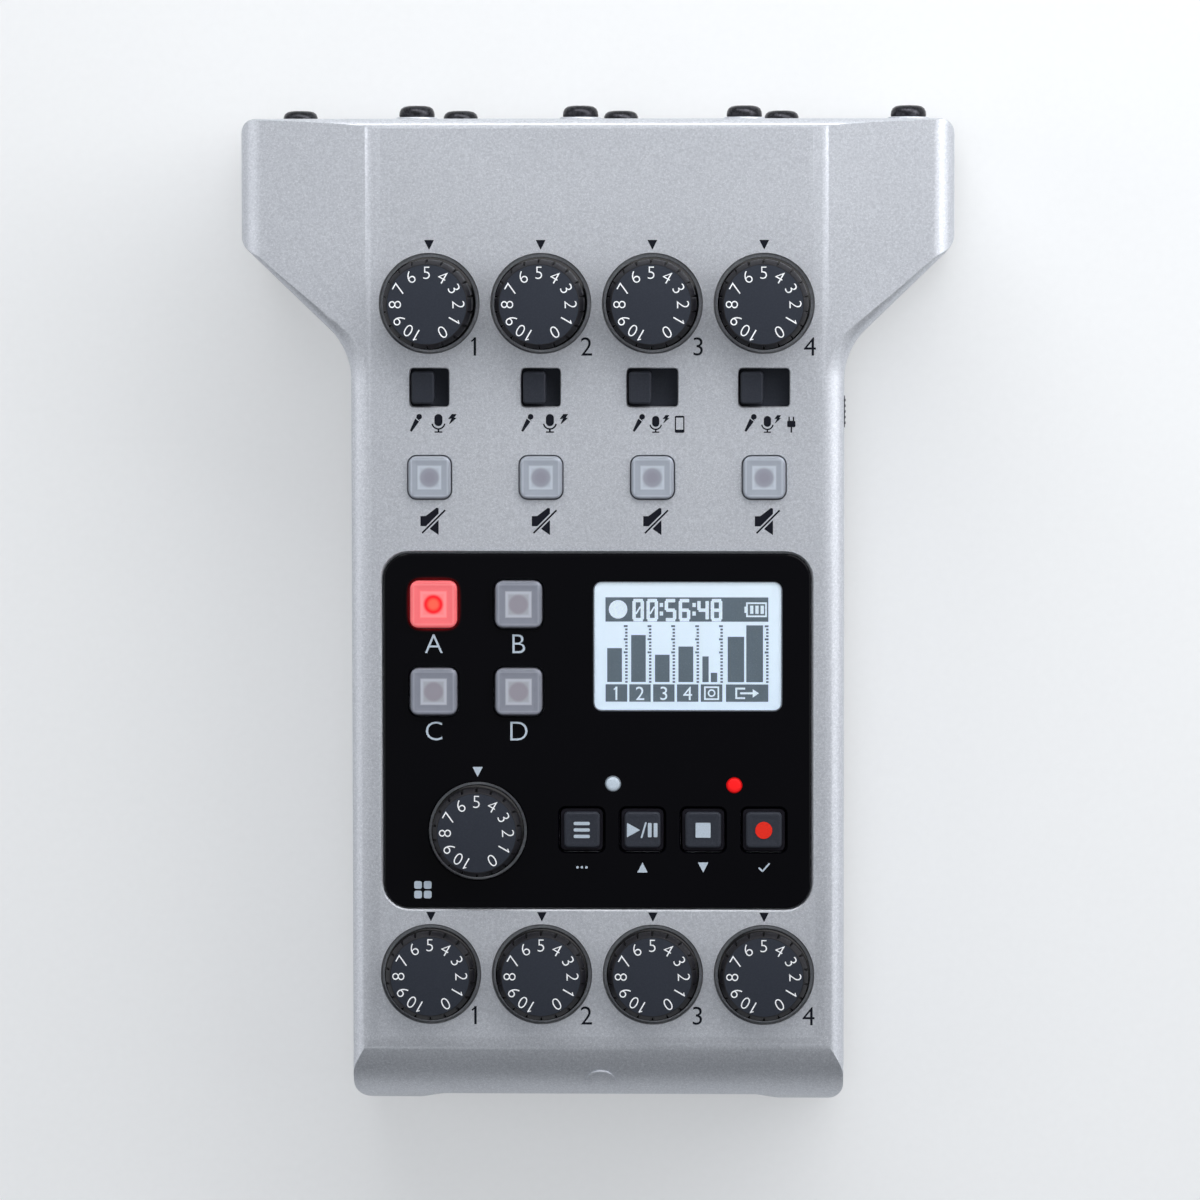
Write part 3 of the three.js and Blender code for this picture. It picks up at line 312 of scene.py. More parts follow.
@dataclass(frozen=True)
class SilverPaint(Finish):
    """Metallic silver paint with a fine sparkle over a slightly uneven coat."""

    base: tuple = tone(210, 213, 219)
    spark: tuple = tone(236, 238, 243)
    shade: tuple = tone(188, 191, 198)

    def mixed(self, desk: Desk) -> bpy.types.Material:
        """Build the material on a desk."""
        at = desk.place()
        grain = desk.noise(at, 2.6, 3.0, 0.75)
        flake = desk.cells(at, 9.0)
        cloud = desk.noise(at, 0.05, 1.0)
        colour = desk.mix(grain.step(0.3, 0.75), self.shade, self.base)
        colour = desk.mix(flake.step(0.72, 1.0) * 0.45, colour, self.spark)
        rough = 0.38 + grain * 0.1 + cloud * 0.06
        relief = grain * 0.6 + flake * 0.4
        return desk.skin({
            "Base Color": colour, "Metallic": 0.75, "Roughness": rough,
            "Normal": desk.bump(relief, 0.35, 0.02), "Specular IOR Level": 0.5,
        })


@dataclass(frozen=True)
class Plastic(Finish):
    """Moulded plastic with a fine grain."""

    name: str
    colour: tuple
    light: tuple
    rough: float
    grain: float = 3.0
    relief: float = 0.02
    coat: float = 0.0
    shine: float = 0.12

    def mixed(self, desk: Desk) -> bpy.types.Material:
        """Build the material on a desk."""
        at = desk.place()
        grain = desk.noise(at, self.grain, 3.0, 0.6)
        smudge = desk.noise(at, 0.12, 2.0)
        colour = desk.mix(grain.step(0.35, 0.75) * 0.5 + smudge * 0.3, self.colour, self.light)
        return desk.skin({
            "Base Color": colour, "Roughness": self.rough + smudge * 0.08 + grain * 0.04,
            "Normal": desk.bump(grain, 0.4, self.relief), "Coat Weight": self.coat, "Coat Roughness": 0.08,
            "Specular IOR Level": self.shine,
        })


@dataclass(frozen=True)
class Metal(Finish):
    """Bare or plated metal with faint drawn lines and wear."""

    name: str
    colour: tuple
    light: tuple
    rough: float
    metallic: float = 1.0

    def mixed(self, desk: Desk) -> bpy.types.Material:
        """Build the material on a desk."""
        at = desk.place()
        wear = desk.noise(at, 1.4, 4.0, 0.7)
        fine = desk.noise(at, 8.0, 2.0)
        colour = desk.mix(wear.step(0.45, 0.8), self.colour, self.light)
        return desk.skin({
            "Base Color": colour, "Metallic": self.metallic, "Roughness": self.rough + wear * 0.12,
            "Normal": desk.bump(fine, 0.3, 0.01),
        })


@dataclass(frozen=True)
class Rubber(Finish):
    """Translucent silicone of a button, with the cavity of its lamp showing through.

    The tones run inwards: rim, which is painted shade on the rounded edge and also mottles the field at random,
    field, line in the field, square over the cavity, painted highlight round the edge of the square, dot of the
    lamp and heart of the dot.
    """

    name: str
    centre: tuple
    half: float
    # rim: darker tone, painted shade on the rounded edge of the cap, also used to mottle the field at random
    rim: tuple
    field_tone: tuple
    line: tuple
    square: tuple
    # painted highlight on the edge of the square over the cavity
    brim: tuple
    dot: tuple
    heart: tuple
    glow: float = 0.0
    skirt_glow: tuple = tone(60, 2, 4)
    cavity_share: float = 0.54

    def mixed(self, desk: Desk) -> bpy.types.Material:
        """Build the material on a desk."""
        at = desk.place(Vector(self.centre), (TILT, 0, 0))
        x, y, z = desk.parts(at)
        reach = abs(x).most(abs(y))
        radius = (x * x + y * y) ** 0.5
        cloud = desk.noise(at, 0.9, 3.0)
        grain = desk.noise(at, 5.0, 2.0)
        half = self.half
        cavity = half * self.cavity_share
        ring = reach.step(half * 0.79, half * 0.83) * (1 - reach.step(half * 0.85, half * 0.89))
        # painted shade: the rim tone darkens the rounded edge of the cap
        edge = reach.step(half * 0.9, half * 0.97)
        inner = 1 - reach.step(cavity * 0.93, cavity * 1.08)
        # painted highlight: a lighter band round the edge of the square
        square_highlight_band = reach.step(cavity * 0.7, cavity * 0.92) * (1 - reach.step(cavity * 0.95, cavity * 1.1))
        spot = 1 - radius.step(1.22, 1.78)
        core = 1 - radius.step(0.5, 1.25)
        colour = desk.mix(cloud * 0.25, self.field_tone, self.rim)
        colour = desk.mix(edge * 0.9, colour, self.rim)
        colour = desk.mix(ring * 0.8, colour, self.line)
        colour = desk.mix(inner, colour, self.square)
        colour = desk.mix(square_highlight_band * 0.75, colour, self.brim)
        colour = desk.mix(spot, colour, self.dot)
        colour = desk.mix(core, colour, self.heart)
        sockets = {
            "Base Color": colour, "Roughness": 0.34 + grain * 0.1, "Specular IOR Level": 0.3,
            "Normal": desk.bump(grain * 0.5 + cloud, 0.25, 0.03),
        }
        if self.glow:
            sockets["Emission Color"] = desk.mix(z.step(-0.3, 0.6), self.skirt_glow, colour)
            sockets["Emission Strength"] = self.glow
        return desk.skin(sockets)


@dataclass(frozen=True)
class Ink(Finish):
    """Printed ink with a slightly uneven coat, and the material slot of what is printed with it."""

    name: str
    colour: tuple
    slot: str
    glow: float = 0.0
    thin: float = 0.86

    def mixed(self, desk: Desk) -> bpy.types.Material:
        """Build the material on a desk."""
        at = desk.place()
        film = desk.noise(at, 6.0, 3.0)
        dark = tuple(self.thin * share for share in self.colour[:3]) + (1.0,)
        colour = desk.mix(film.step(0.3, 0.7), dark, self.colour)
        sockets = {
            "Base Color": colour, "Roughness": 0.5 + film * 0.15, "Normal": desk.bump(film, 0.2, 0.005),
            "Specular IOR Level": 0.1,
        }
        if self.glow:
            sockets["Emission Color"] = colour
            sockets["Emission Strength"] = self.glow
        return desk.skin(sockets)


@dataclass(frozen=True)
class Backlight(Finish):
    """Evenly lit display glass, a little brighter towards its lamp."""

    name: str
    colour: tuple
    shade: tuple
    centre: tuple
    glow: float

    def mixed(self, desk: Desk) -> bpy.types.Material:
        """Build the material on a desk."""
        at = desk.place(Vector(self.centre), (TILT, 0, 0))
        _, y, _ = desk.parts(at)
        fade = (y * 0.03 + 0.5) + (desk.noise(at, 0.2, 1.0) - 0.5) * 0.3
        colour = desk.mix(fade, self.shade, self.colour)
        return desk.skin({
            "Base Color": colour, "Roughness": 0.4 + desk.noise(at, 4.0) * 0.1,
            "Emission Color": colour, "Emission Strength": self.glow,
        })


@dataclass(frozen=True)
class ClearPane(Finish):
    """Clear acrylic that the display is seen through."""

    def mixed(self, desk: Desk) -> bpy.types.Material:
        """Build the material on a desk."""
        at = desk.place()
        smear = desk.noise(at, 0.3, 3.0)
        return desk.skin({
            "Base Color": tone(250, 252, 255), "Roughness": 0.01 + smear * 0.03, "Transmission Weight": 1.0,
            "IOR": 1.3, "Normal": desk.bump(smear, 0.05, 0.01),
        })


@dataclass(frozen=True)
class Glossy(Finish):
    """Piano black panel with faint dust, and a painted red glow of the lit pad around it."""

    lit: tuple
    # reach of the painted red glow that the panel emits round the lit pad
    halo: Point = (3.7, 4.6)
    halo_tone: tuple = tone(110, 5, 9)

    def mixed(self, desk: Desk) -> bpy.types.Material:
        """Build the material on a desk."""
        at = desk.place()
        haze = desk.noise(at, 0.08, 3.0)
        dust = desk.cells(at, 2.4).step(0.985, 1.0)
        colour = desk.mix(haze * 0.5 + dust * 0.1, tone(3, 3, 6), tone(7, 6, 11))
        # painted glow: the panel emits red light round the lit pad, though it is no lamp
        x, y, _ = desk.parts(desk.place(Vector(self.lit), (TILT, 0, 0)))
        reach = (x * x * x * x + y * y * y * y) ** 0.25
        halo = (1 - reach.step(*self.halo)) ** 2.0
        return desk.skin({
            "Base Color": colour, "Roughness": 0.09 + haze * 0.05, "Specular IOR Level": 0.12,
            "Emission Color": desk.mix(halo, (0, 0, 0, 1), self.halo_tone), "Emission Strength": 1.0,
            "Normal": desk.bump(haze, 0.04, 0.02),
        })


@dataclass(frozen=True)
class CircuitBoard(Finish):
    """Green solder mask with copper pads."""

    def mixed(self, desk: Desk) -> bpy.types.Material:
        """Build the material on a desk."""
        at = desk.place()
        mask = desk.noise(at, 0.5, 2.0)
        pads = desk.cells(at, 0.7).step(0.86, 0.9)
        colour = desk.mix(mask, tone(18, 74, 44), tone(30, 104, 62))
        colour = desk.mix(pads * 0.7, colour, tone(198, 164, 92))
        return desk.skin({
            "Base Color": colour, "Roughness": 0.42 + mask * 0.1, "Metallic": pads * 0.8,
            "Normal": desk.bump(pads, 0.4, 0.03),
        })


@dataclass(frozen=True)
class StudioFloor(Finish):
    """Plain pale paper that the camera, metal and glass see paler, with the shadow kept."""

    paler: float = 0.45

    def mixed(self, desk: Desk) -> bpy.types.Material:
        """Build the material on a desk."""
        weave = desk.noise(desk.place(), 0.8, 2.0)
        colour = desk.mix(weave, tone(232, 234, 236), tone(238, 240, 242))
        paper = desk.node("ShaderNodeBsdfPrincipled", {}, {
            "Base Color": colour, "Roughness": 0.8 + weave * 0.1, "Normal": desk.bump(weave, 0.1, 0.02),
        })
        white = desk.node("ShaderNodeEmission", {}, {"Color": tone(244, 246, 248), "Strength": 1.0})
        path = desk.node("ShaderNodeLightPath", {}, {})
        seen = None
        for ray in ("Is Camera Ray", "Is Glossy Ray", "Is Transmission Ray"):
            share = Wire(desk, path.outputs[ray])
            seen = share if seen is None else seen.most(share)
        both = desk.node("ShaderNodeMixShader", {}, {
            0: seen * self.paler, 1: Wire(desk, paper.outputs[0]), 2: Wire(desk, white.outputs[0]),
        })
        return desk.close(Wire(desk, both.outputs[0]))


# Shapes


def soften(mesh: bmesh.types.BMesh, edges: list, width: float, steps: int) -> None:
    """Round some edges.

    Args:
        mesh: Mesh that they are in.
        edges: The edges.
        width: How far the rounding reaches.
        steps: Faces across it.
    """
    if edges and width > 0:
        bmesh.ops.bevel(
            mesh, geom=edges, offset=width, offset_type="OFFSET", segments=steps, profile=0.5,
            affect="EDGES", material=-1, clamp_overlap=True,
        )


def reach_of(corner: Corner, before: Corner, after: Corner) -> float:
    """How far along its sides the rounding of a corner reaches."""
    here = Vector(corner[:2])
    back = Vector(before[:2]) - here
    ahead = Vector(after[:2]) - here
    turn = math.pi - back.angle(ahead)
    return min(corner[2] * math.tan(turn / 2), back.length * 0.49, ahead.length * 0.49)


class Form:
    """A shape in the making, in millimetres."""

    def __init__(self) -> None:
        """Start with nothing."""
        self.mesh = bmesh.new()

    def take(self, part: bmesh.types.BMesh, place: Optional[Matrix] = None) -> "Form":
        """Add a finished bmesh and free it.

        Args:
            part: The bmesh.
            place: Where it goes in this form.

        Returns:
            This form.
        """
        if place is not None:
            bmesh.ops.transform(part, matrix=place, verts=part.verts)
        spare = bpy.data.meshes.new("spare")
        part.to_mesh(spare)
        self.mesh.from_mesh(spare)
        part.free()
        bpy.data.meshes.remove(spare)
        return self

    def add(self, other: "Form", place: Optional[Matrix] = None) -> "Form":
        """Add a copy of another form at a place."""
        return self.take(other.mesh.copy(), place)

    def put(self, other: "Form", x: float, y: float) -> "Form":
        """Add another form at a place on its level."""
        return self.add(other, Matrix.Translation((x, y, 0)))

    def copy(self) -> "Form":
        """A form with the same shape."""
        return Form().add(self)

    def moved(self, place: Matrix) -> "Form":
        """Carry the whole form to a place."""
        bmesh.ops.transform(self.mesh, matrix=place, verts=self.mesh.verts)
        return self

    def slab(
        self, size: Point, span: Point, at: Point = (0, 0), corner: float = 0, edge: float = 0,
        steps: int = 6, edge_steps: int = 3, under: float = 0,
    ) -> "Form":
        """Add a plate with rounded corners and rounded upper and lower edges.

        Args:
            size: Width and depth.
            span: Lowest and highest level.
            at: Its centre.
            corner: Radius of the upright corners.
            edge: Rounding of the upper edge.
            steps: Faces across a corner.
            edge_steps: Faces across an edge.
            under: Rounding of the lower edge.

        Returns:
            This form.
        """
        half_x, half_y = size[0] / 2, size[1] / 2
        places = [(half_x, -half_y), (half_x, half_y), (-half_x, half_y), (-half_x, -half_y)]
        corners = [(at[0] + x, at[1] + y, corner) for x, y in places]
        return self.prism(corners, span, edge, steps, edge_steps, under)

    def prism(
        self, corners: Sequence[Corner], span: Point, edge: float = 0, steps: int = 6, edge_steps: int = 3,
        under: float = 0, place: Optional[Matrix] = None,
    ) -> "Form":
        """Add an upright prism on an outline of rounded corners.

        Args:
            corners: Corners as (x, y, radius), counter-clockwise.
            span: Lowest and highest level.
            edge: Rounding of the upper edge.
            steps: Faces across a corner.
            edge_steps: Faces across an edge.
            under: Rounding of the lower edge.
            place: Where it goes in this form.

        Returns:
            This form.
        """
        part = bmesh.new()
        base = outline_face(part, corners, span[0], steps)
        made = bmesh.ops.extrude_face_region(part, geom=[base])["geom"]
        raised = [item for item in made if isinstance(item, bmesh.types.BMVert)]
        bmesh.ops.translate(part, vec=(0, 0, span[1] - span[0]), verts=raised)
        bmesh.ops.recalc_face_normals(part, faces=part.faces)
        for level, width in ((span[1], edge), (span[0], under)):
            rim = [item for item in part.edges if all(abs(v.co.z - level) < 1e-5 for v in item.verts)]
            soften(part, rim, width, edge_steps)
        return self.take(part, place)

    def lathe(
        self, profile: Sequence[Point], sides: int, at: Point = (0, 0), place: Optional[Matrix] = None,
    ) -> "Form":
        """Add a body of revolution about the upright axis.

        Args:
            profile: Points as (radius, level), which start and end on the axis or close on themselves.
            sides: Faces round it.
            at: Place of its axis.
            place: Where it goes in this form.

        Returns:
            This form.
        """
        part = bmesh.new()
        points = [part.verts.new((radius, 0, level)) for radius, level in profile]
        lines = [part.edges.new(pair) for pair in zip(points, points[1:])]
        if profile[0][0] > 0:
            lines.append(part.edges.new((points[-1], points[0])))
        bmesh.ops.spin(
            part, geom=points + lines, cent=(0, 0, 0), axis=(0, 0, 1), dvec=(0, 0, 0), angle=2 * math.pi,
            steps=sides, use_merge=True, use_duplicate=False,
        )
        bmesh.ops.remove_doubles(part, verts=part.verts, dist=1e-4)
        bmesh.ops.dissolve_degenerate(part, dist=1e-5, edges=part.edges)
        bmesh.ops.recalc_face_normals(part, faces=part.faces)
        bmesh.ops.translate(part, vec=(at[0], at[1], 0), verts=part.verts)
        return self.take(part, place)

    def disc(
        self, radius: float, span: Point, at: Point = (0, 0), edge: float = 0, sides: int = 48,
        place: Optional[Matrix] = None,
    ) -> "Form":
        """Add an upright cylinder with a rounded upper edge.

        Args:
            radius: Its radius.
            span: Lowest and highest level.
            at: Its centre.
            edge: Rounding of the upper edge.
            sides: Faces round it.
            place: Where it goes in this form.

        Returns:
            This form.
        """
        profile = [(0, span[0]), (radius, span[0])] + round_end(radius, span[1], edge)
        return self.lathe(profile, sides, at, place)

    def rings(self, rings: Sequence[tuple[Sequence[Corner], float]], steps: int = 6) -> "Form":
        """Add a closed loft through outlines with as many corners each.

        Args:
            rings: Outlines with their levels, from the lowest.
            steps: Faces across a corner.

        Returns:
            This form.
        """
        part = bmesh.new()
        faces = [outline_face(part, corners, level, steps) for corners, level in rings]
        for low, high in zip(faces, faces[1:]):
            bmesh.ops.bridge_loops(part, edges=list(low.edges) + list(high.edges))
        bmesh.ops.delete(part, geom=faces[1:-1], context="FACES_ONLY")
        bmesh.ops.recalc_face_normals(part, faces=part.faces)
        return self.take(part)

    def joined(self, other: "Form") -> "Form":
        """This form united with another."""
        return combined(self, other, "UNION")

    def less(self, other: "Form") -> "Form":
        """This form with another cut out of it."""
        return combined(self, other, "DIFFERENCE")

    def within(self, other: "Form") -> "Form":
        """What this form has in common with another."""
        return combined(self, other, "INTERSECT")

    def loose(self, name: str) -> bpy.types.Object:
        """Object of this form as it stands."""
        data = bpy.data.meshes.new(name)
        self.mesh.to_mesh(data)
        thing = bpy.data.objects.new(name, data)
        bpy.context.scene.collection.objects.link(thing)
        return thing


def round_end(radius: float, level: float, edge: float, steps: int = 4) -> list[Point]:
    """Profile points of a rounded upper edge that ends on the axis.

    Args:
        radius: Radius under the edge.
        level: Level of the top.
        edge: Size of the rounding.
        steps: Faces across it.

    Returns:
        Points as (radius, level).
    """
    if edge <= 0:
        return [(radius, level), (0, level)]
    arc = [
        (radius - edge * (1 - math.cos(share)), level - edge * (1 - math.sin(share)))
        for share in (i * math.pi / 2 / steps for i in range(steps + 1))
    ]
    return arc + [(0, level)]


def outline_face(
    mesh: bmesh.types.BMesh, corners: Sequence[Corner], level: float, steps: int,
) -> bmesh.types.BMFace:
    """Add a flat face on an outline of rounded corners.

    Args:
        mesh: Mesh that it goes in.
        corners: Corners as (x, y, radius), counter-clockwise.
        level: Its level.
        steps: Faces across a corner.

    Returns:
        The face.
    """
    others = set(mesh.faces)
    points = [mesh.verts.new((x, y, level)) for x, y, _ in corners]
    mesh.faces.new(points)
    count = len(corners)
    reaches = [reach_of(corners[i], corners[i - 1], corners[(i + 1) % count]) for i in range(count)]
    for point, reach in zip(points, reaches):
        if reach > 1e-4:
            bmesh.ops.bevel(
                mesh, geom=[point], offset=reach, offset_type="OFFSET", segments=steps, profile=0.5,
                affect="VERTICES", material=-1, clamp_overlap=False,
            )
    return max((item for item in mesh.faces if item not in others), key=lambda item: item.calc_area())


def combined(base: Form, tool: Form, operation: str) -> Form:
    """Join, cut or intersect two closed forms.

    Args:
        base: First form.
        tool: Second form.
        operation: UNION, DIFFERENCE or INTERSECT.

    Returns:
        The new form.
    """
    things = [base.loose("base"), tool.loose("tool")]
    modifier = things[0].modifiers.new("combine", "BOOLEAN")
    modifier.solver = "EXACT"
    modifier.operation = operation
    modifier.object = things[1]
    view = bpy.context.evaluated_depsgraph_get()
    data = bpy.data.meshes.new_from_object(things[0].evaluated_get(view))
    result = Form()
    result.mesh.from_mesh(data)
    bmesh.ops.remove_doubles(result.mesh, verts=result.mesh.verts, dist=2e-4)
    bmesh.ops.dissolve_degenerate(result.mesh, dist=1e-4, edges=result.mesh.edges)
    for thing in things:
        spare = thing.data
        bpy.data.objects.remove(thing)
        bpy.data.meshes.remove(spare)
    bpy.data.meshes.remove(data)
    return result


def piece(
    form: Form, name: str, seat: Matrix, finish: Finish, body: str = BODY,
    replaces: Sequence[str] = (), sharp: float = 32, weighted: bool = False,
) -> bpy.types.Object:
    """Turn a form into a finished piece of the recorder.

    Args:
        form: Its shape, in the seat's frame.
        name: Name of the piece.
        seat: Frame that it was drawn in.
        finish: What it is dressed in.
        body: Body that it moves with.
        replaces: CAD nodes that it stands for.
        sharp: Angle in degrees from which an edge stays sharp.
        weighted: Whether big flat faces keep their own normals.

    Returns:
        The piece.
    """
    bmesh.ops.transform(form.mesh, matrix=Matrix.Scale(MM, 4) @ seat, verts=form.mesh.verts)
    data = bpy.data.meshes.new(name)
    form.mesh.to_mesh(data)
    form.mesh.free()
    data.shade_smooth()
    data.set_sharp_from_angle(angle=math.radians(sharp))
    thing = bpy.data.objects.new(name, data)
    bpy.context.scene.collection.objects.link(thing)
    data.materials.append(finish.dress())
    if weighted:
        modifier = thing.modifiers.new("normals", "WEIGHTED_NORMAL")
        modifier.mode = "FACE_AREA"
        modifier.keep_sharp = True
    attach(thing, body)
    if replaces:
        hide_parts(*replaces)
    LOG.info("%s: %d faces", name, len(data.polygons))
    return thing


def repaint(node: str, finish: Finish) -> None:
    """Give a CAD node that stays its procedural finish."""
    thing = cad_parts[node]
    thing.data.materials.clear()
    thing.data.materials.append(finish.dress())


# Frames of the recorder, in millimetres


FACE_LEVEL = 38.5
BODY_SEAT = Matrix.Translation((0, -1.15, 0))
FACE_SEAT = BODY_SEAT @ Matrix.Translation((0, 0, FACE_LEVEL)) @ Matrix.Rotation(TILT, 4, "X")
REAR_SEAT = BODY_SEAT @ Matrix.Translation((0, 77.5, 20.5)) @ Matrix.Rotation(-math.pi / 2, 4, "X")
FRONT_SEAT = BODY_SEAT @ Matrix.Translation((0, -76.64, 12.5)) @ Matrix.Rotation(math.pi / 2, 4, "X")
LEFT_SEAT = (
    FACE_SEAT @ Matrix.Translation((-38.7, 0, 0))
    @ Matrix.Rotation(math.pi / 2, 4, "X") @ Matrix.Rotation(-math.pi / 2, 4, "Y")
)
RIGHT_SEAT = (
    FACE_SEAT @ Matrix.Translation((38.7, 0, 0))
    @ Matrix.Rotation(math.pi / 2, 4, "X") @ Matrix.Rotation(math.pi / 2, 4, "Y")
)
STAND_UP = Matrix.Rotation(math.pi / 2, 4, "X")
LIE_ALONG = Matrix(((0, 0, 1, 0), (1, 0, 0, 0), (0, 1, 0, 0), (0, 0, 0, 1)))

COLUMNS = (-26.25, -8.75, 8.75, 26.25)
ROWS = {"gain": 48.59, "source": 35.4, "mute": 21.3, "volume": -57.1}
SLOT_WIDTHS = (6.1, 6.1, 7.95, 7.95)
PANEL_Y = -18.65
WELL = 7.72
MIC_PLACES = (-38.7, -12.9, 12.9, 38.7)
MIC_SCREW = (10.1, 12)
BAY_Y = -34.1
JACK_PLACES = (-21.0, -7.0, 7.0, 21.0)
FOOT_PLACES = ((-27.09, -65.1), (27.09, -65.1), (-45.92, 65.1), (45.92, 65.1))
CASE_SCREWS = ((-33.4, -48.8), (33.4, -48.8), (-33.4, 14.7), (33.4, 14.7), (-34.0, 63.0), (34.0, 63.0))


# Places on the control panel, in the frame of the face
KEY_Y = -34.19
PAD_PLACES = {"a": (-25.67, 1.37), "b": (-12.3, 1.37), "c": (-25.67, -12.39), "d": (-12.3, -12.39)}
KEY_PLACES = {"menu": (-2.42, KEY_Y), "play": (7.12, KEY_Y), "stop": (16.67, KEY_Y), "record": (26.21, KEY_Y)}
LIGHT_PLACES = {"play": (2.49, -26.92), "record": (21.57, -27.14)}
WINDOW_PLACE = (14.25, -5.29)
PAD_KNOB_PLACE = (-18.82, -34.41)


def at(seat: Matrix, x: float, y: float, z: float = 0) -> Matrix:
    """Seat moved to a place in its own frame."""
    return seat @ Matrix.Translation((x, y, z))


def square(
    width: float, depth: float, corner: float, grow: float = 0, x: float = 0, y: float = 0,
) -> list[Corner]:
    """Outline of a rectangle with rounded corners.

    Args:
        width: Its width.
        depth: Its depth.
        corner: Radius of its corners.
        grow: How much wider it is on every side.
        x: Its centre across.
        y: Its centre along.

    Returns:
        Its corners.
    """
    half_x = width / 2 + grow
    half_y = depth / 2 + grow
    radius = max(corner + grow, 0.05) if corner else 0.0
    places = ((half_x, -half_y), (half_x, half_y), (-half_x, half_y), (-half_x, -half_y))
    return [(x + a, y + b, radius) for a, b in places]


def screw_spot(x: float, side: int) -> Point:
    """Place of a socket's screw on the rear wall: low for side -1, high for side 1."""
    return (x + side * MIC_SCREW[0], -side * MIC_SCREW[1])


def opening(
    form: Form, size: Point, spot: Point, low: float, corner: float = 0.5, rim: float = 0.2, high: float = 4,
) -> None:
    """Add a cutter for an opening with a broken rim.

    Args:
        form: Form that it goes in.
        size: Width and depth of the opening.
        spot: Its centre.
        low: Its lowest level.
        corner: Radius of its corners.
        rim: Width of the broken rim.
        high: How far it reaches over the surface.
    """
    inner = square(*size, corner, 0, *spot)
    outer = square(*size, corner, rim, *spot)
    form.rings([(inner, low), (inner, -rim), (outer, 0.02), (outer, high)], 6)


def bore(
    form: Form, radius: float, spot: Point, low: float, rim: float = 0.2, sides: int = 64, high: float = 4,
) -> None:
    """Add a cutter for a round hole with a broken rim.

    Args:
        form: Form that it goes in.
        radius: Radius of the hole.
        spot: Its centre.
        low: Its lowest level.
        rim: Width of the broken rim.
        sides: Faces round it.
        high: How far it reaches over the surface.
    """
    wide = radius + rim
    form.lathe([(0, low), (radius, low), (radius, -rim), (wide, 0.02), (wide, high), (0, high)], sides, spot)


# Housing


@dataclass
class Housing:
    """Outline and roof of the housing, which the top shell and the tray share."""

    half_length: float = 77.5
    half_body: float = 38.7
    half_shoulder: float = 56.0
    shoulder_y: float = 58.0
    neck_y: float = 41.3
    neck_round: float = 10.0
    dip: float = 0.86
    wall: float = 2.0
    seam: float = 4.7
    tray: float = 4.4
    floor: float = 1.0
    band: float = 3.6
    rear_band: float = 1.6
    band_drop: float = 2.4
    crease: float = 35.1
    crease_round: float = 40.0
    roll_round: float = 7.25
    nose_round: float = 11.7

    def outline(self, side: float, rear: float, front: float) -> list[Corner]:
        """Outline seen from above, drawn in from its sides, rear and front.

        Args:
            side: How far the sides come in.
            rear: How far the rear comes in.
            front: How far the front comes in.

        Returns:
            Corners, counter-clockwise.
        """
        low = -self.half_length
        right = [
            (25.0, low + self.dip, 4.0), (28.6, low, 4.0), (self.half_body, low, 3.0),
            (self.half_body, self.neck_y, self.neck_round), (self.half_shoulder, self.shoulder_y, 3.0),
            (self.half_shoulder, self.half_length, 2.4),
        ]
        corners = right + [(-x, y, radius) for x, y, radius in reversed(right)]
        lines = []
        for here, there in zip(corners, corners[1:] + corners[:1]):
            way = (Vector(there[:2]) - Vector(here[:2])).normalized()
            inward = Vector((-way.y, way.x))
            is_rear = here[1] == there[1] == self.half_length
            is_front = max(here[1], there[1]) <= low + self.dip
            inset = rear if is_rear else front if is_front else side
            lines.append((inward, inward.dot(Vector(here[:2])) + inset))
        result = []
        for i, (x, y, radius) in enumerate(corners):
            (first, reach), (second, other) = lines[i - 1], lines[i]
            turn = first.x * second.y - first.y * second.x
            place = ((reach * second.y - other * first.y) / turn, (other * first.x - reach * second.x) / turn)
            hollow = turn < 0
            rounding = radius + side if hollow else max(radius - max(side, 0), 0.6)
            result.append((*place, rounding))
        return result

    def walls(self, inset: float, span: Point, under: float = 0) -> Form:
        """Upright prism inside the walls."""
        return Form().prism(self.outline(inset, inset, inset), span, under=under, steps=8)

    def crown(self) -> Form:
        """Space under the rounded edge band round the face."""
        skirt = self.outline(-4, -4, -4)
        rings = [(skirt, -46.0), (skirt, -self.band_drop - 0.01)]
        steps = 10
        for i in range(steps + 1):
            turn = i * math.pi / 2 / steps
            share = 1 - math.cos(turn)
            outline = self.outline(share * self.band, share * self.rear_band, -4)
            rings.append((outline, -self.band_drop * (1 - math.sin(turn))))
        return Form().rings(rings, 8).moved(FACE_SEAT)

    def roof(self, inset: float, steps: int = 16) -> Form:
        """Space under the face: a flat strip, two falling planes and the roll of the shoulders."""
        side = self.half_shoulder - inset
        right = [
            (side + 4, -46.0, 0.0), (side + 4, -8.4 - inset, 0.0), (side + 0.05, -8.3 - inset, 0.0),
            (side, -1.33 - inset, self.roll_round), (self.crease, -inset, self.crease_round),
        ]
        corners = right + [(-x, z, radius) for x, z, radius in reversed(right)]
        return Form().prism(corners, (-84, 84), steps=steps, place=FACE_SEAT @ STAND_UP)

    def nose(self, inset: float, steps: int = 24) -> Form:
        """Space behind and under the roll of the front."""
        rise = math.tan(TILT)
        front = -self.half_length - 0.05 + inset
        corners = [
            (front, -2.0, 0.0), (84.0, -2.0, 0.0), (84.0, FACE_LEVEL + 84 * rise + 0.3 - inset, 0.0),
            (front, FACE_LEVEL + front * rise - inset, self.nose_round),
        ]
        return Form().prism(corners, (-64, 64), steps=steps, place=BODY_SEAT @ LIE_ALONG)


